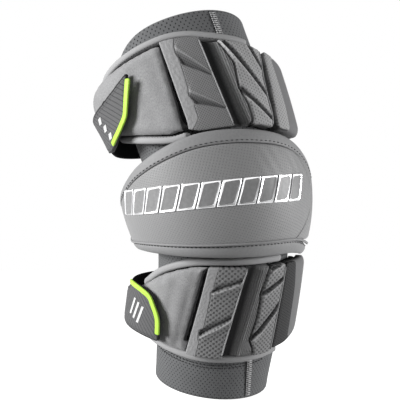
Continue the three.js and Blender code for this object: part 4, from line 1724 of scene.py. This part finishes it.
    def build_cord_and_stitches(self) -> None:
        """The cord over the hem's seam, and the stitches along both seams."""
        cord = self.edge_route(self.hem_edge, 0.6, -0.6, self.left + 4, self.right - 14)
        dress(sew_strip("cap_cord", cord, Section(2.2, 2.0, sides=12), 150), CAP_TAPE, "cap_piping")
        rows = [
            (self.edge_route(self.band_edge, 1.6, -0.1, -84, 80), Stitch(3.0, 0.9, 4.6)),
            (self.edge_route(self.hem_edge, -1.4, -0.7, -82, 76), Stitch(2.8, 1.0, 3.8)),
        ]
        dress(sew_stitches("cap_stitches", rows), DARK_THREAD)

    def build_bars(self) -> None:
        """The raised row of slanted bars across the face."""
        first, last = (self.bar_rows[k][0] * self.per_degree for k in (0, -1))
        pitch = (last - first) / self.bar_count
        middles = first + pitch * (np.arange(self.bar_count) + 0.5)
        bars = [Bar(middle, 0, pitch - self.bar_gap, self.bar_height, self.bar_slant) for middle in middles]

        def to_spot(across: Array, along: Array) -> tuple[Array, Array, Array]:
            """Place on the cap's face, from its flat pattern, along the row's slope."""
            angle = across / self.per_degree
            station = along * follow(self.bar_scale, angle) + follow(self.bar_rows, angle)
            return angle, station, self.height(angle, station) + 0.8

        piece = lay_bars("cap_bars", bars, to_spot, 1.3, self.bar_rim)
        piece.data.materials.append(SILVER.material())
        dress(piece, GREY_FILM)


@dataclass(frozen=True)
class MeshSleeve:
    """The elastic mesh sleeve that the panels are sewn on."""

    wall: float = 1.2
    hem: float = 9
    slant: float = 19
    flat: Row = (0.366, 0.318)
    seams: Sequence[tuple[Row, Row]] = (((40, -163), (34.5, -126)), ((37, 118), (37, 142)))

    def build(self) -> None:
        """Builds the sleeve and its flat seams."""
        bm = bmesh.new()
        bmesh.ops.create_grid(bm, x_segments=180, y_segments=150, size=0.5)
        sleeve = to_object("mesh_sleeve", bm)
        grid = take_coords(sleeve.data)
        angle = 360 * grid[:, 0]
        end = ARM.upper_reach - self.slant * np.clip(-np.sin(np.radians(angle)), 0, 1) ** 4
        station = (grid[:, 1] + 0.5) * (end + ARM.lower_reach) - ARM.lower_reach
        from_end = np.minimum(end - station, station + ARM.lower_reach)
        rise = self.folds(angle, station) * smoothstep(from_end, 0, self.hem)
        put_uvs(sleeve.data, np.stack([angle * ARM.per_degree, station], axis=-1))
        put_shade(sleeve.data, np.zeros(len(grid)))
        put_coords(sleeve.data, ARM.place(angle, station, rise))
        face_outwards(sleeve.data, weld=0.00002)
        wall = sleeve.modifiers.new("wall", "SOLIDIFY")
        wall.thickness = self.wall * MM
        wall.offset = -1
        wall.use_rim = True
        dress(sleeve, MESH_KNIT, "sleeve_upper", "sleeve_elbow", "sleeve_forearm")
        self.build_seams()

    def folds(self, angle: Array, station: Array) -> Array:
        """Soft folds of the cloth."""
        turn = np.radians(angle)
        wave = np.sin(3 * turn + station / 14) + 0.6 * np.sin(5 * turn - station / 9)
        return -0.25 + 0.2 * wave

    def build_seams(self) -> None:
        """The flat seams: a ladder of light threads between two edge lines."""
        rows = []
        for number, seam in enumerate(self.seams):
            angles, stations = (np.linspace(*ends, SHORT_LINE) for ends in zip(*seam))
            middle = through(list(zip(angles, stations, np.full(SHORT_LINE, 0.05))))
            strip = sew_strip(f"sleeve_seam_tape_{number}", middle, Section(5.6, 0.7, sides=12), 60)
            dress(strip, SEAM_CLOTH)
            for off, stitch in (
                (0.0, Stitch(5.4, 1.3, 2.1, slant=84, zigzag=True)),
                (-2.5, Stitch(1.7, 1.1, 2.1)),
                (2.5, Stitch(1.7, 1.1, 2.1)),
            ):
                beside = angles + off / ARM.per_degree
                rows.append((through(list(zip(beside, stations, np.full(SHORT_LINE, 0.7)))), stitch))
        dress(sew_stitches("sleeve_flat_seams", rows), LIGHT_THREAD)


@dataclass(frozen=True)
class Studio:
    """Plain pale floor, soft lights and the camera of the photograph, in metres."""

    camera: tuple[float, float, float] = (-0.01932, -1.25, 0.0)
    lens: float = 120.5
    film: float = 36.0
    floor: float = 2.5
    clearance: float = 0.006
    sky: float = 1.0
    ambient: float = 0.17

    def build(self) -> None:
        """Sets up the floor, the light and the camera."""
        self.build_floor()
        self.build_world()
        self.build_light("left", (-1.6, -0.62, 0.4), 0.6, 42)
        self.build_light("right", (1.5, -0.2, 0.0), 0.6, 24)
        self.build_camera()
        bpy.context.scene.view_settings.view_transform = "Standard"

    def build_floor(self) -> None:
        """A round pale floor under the pad."""
        bm = bmesh.new()
        bmesh.ops.create_circle(bm, cap_ends=True, segments=96, radius=self.floor)
        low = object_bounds()[0][2] - self.clearance
        bmesh.ops.translate(bm, verts=bm.verts, vec=(0, 0, low))
        floor = to_object("pale_floor", bm)
        material = bpy.data.materials.new("pale_ground")
        material.use_nodes = True
        shader = material.node_tree.nodes["Principled BSDF"]
        shader.inputs["Base Color"].default_value = (0.93, 0.93, 0.93, 1)
        shader.inputs["Roughness"].default_value = 0.9
        shader.inputs["Emission Color"].default_value = (1, 1, 1, 1)
        shader.inputs["Emission Strength"].default_value = 0.85
        floor.data.materials.append(material)
        floor.visible_diffuse = False
        floor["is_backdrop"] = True

    def build_world(self) -> None:
        """An even white sky."""
        world = bpy.data.worlds.new("white_sky")
        world.use_nodes = True
        nodes, links = world.node_tree.nodes, world.node_tree.links
        sky = nodes["Background"]
        sky.inputs["Color"].default_value = (1, 1, 1, 1)
        seen = nodes.new("ShaderNodeMapRange")
        seen.inputs["To Min"].default_value = self.ambient
        seen.inputs["To Max"].default_value = self.sky
        links.new(nodes.new("ShaderNodeLightPath").outputs["Is Camera Ray"], seen.inputs["Value"])
        links.new(seen.outputs["Result"], sky.inputs["Strength"])
        bpy.context.scene.world = world

    def build_light(
        self, name: str, place: tuple[float, float, float], size: float, power: float
    ) -> None:
        """A square soft light that faces the pad."""
        data = bpy.data.lights.new(name, "AREA")
        data.size = size
        data.energy = power
        light = bpy.data.objects.new(name, data)
        light.location = place
        light.rotation_euler = Vector(place).to_track_quat("Z", "Y").to_euler()
        bpy.context.scene.collection.objects.link(light)

    def build_camera(self) -> None:
        """The camera, level and square to the pad."""
        data = bpy.data.cameras.new("camera")
        data.sensor_fit = "VERTICAL"
        data.sensor_height = self.film
        data.lens = self.lens
        camera = bpy.data.objects.new("camera", data)
        camera.location = self.camera
        camera.rotation_euler = (math.pi / 2, 0, 0)
        bpy.context.scene.collection.objects.link(camera)
        bpy.context.scene.camera = camera


def main() -> None:
    """Builds the pad, its parts in order, and the studio round it."""
    logging.basicConfig(level=logging.INFO, format="%(name)s %(message)s")
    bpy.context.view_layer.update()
    for part in (Studio(), MeshSleeve(), UPPER_PANEL, LOWER_PANEL, ElbowCap()):
        log.info("building %s", type(part).__name__)
        part.build()


if __name__ == "__main__":
    main()
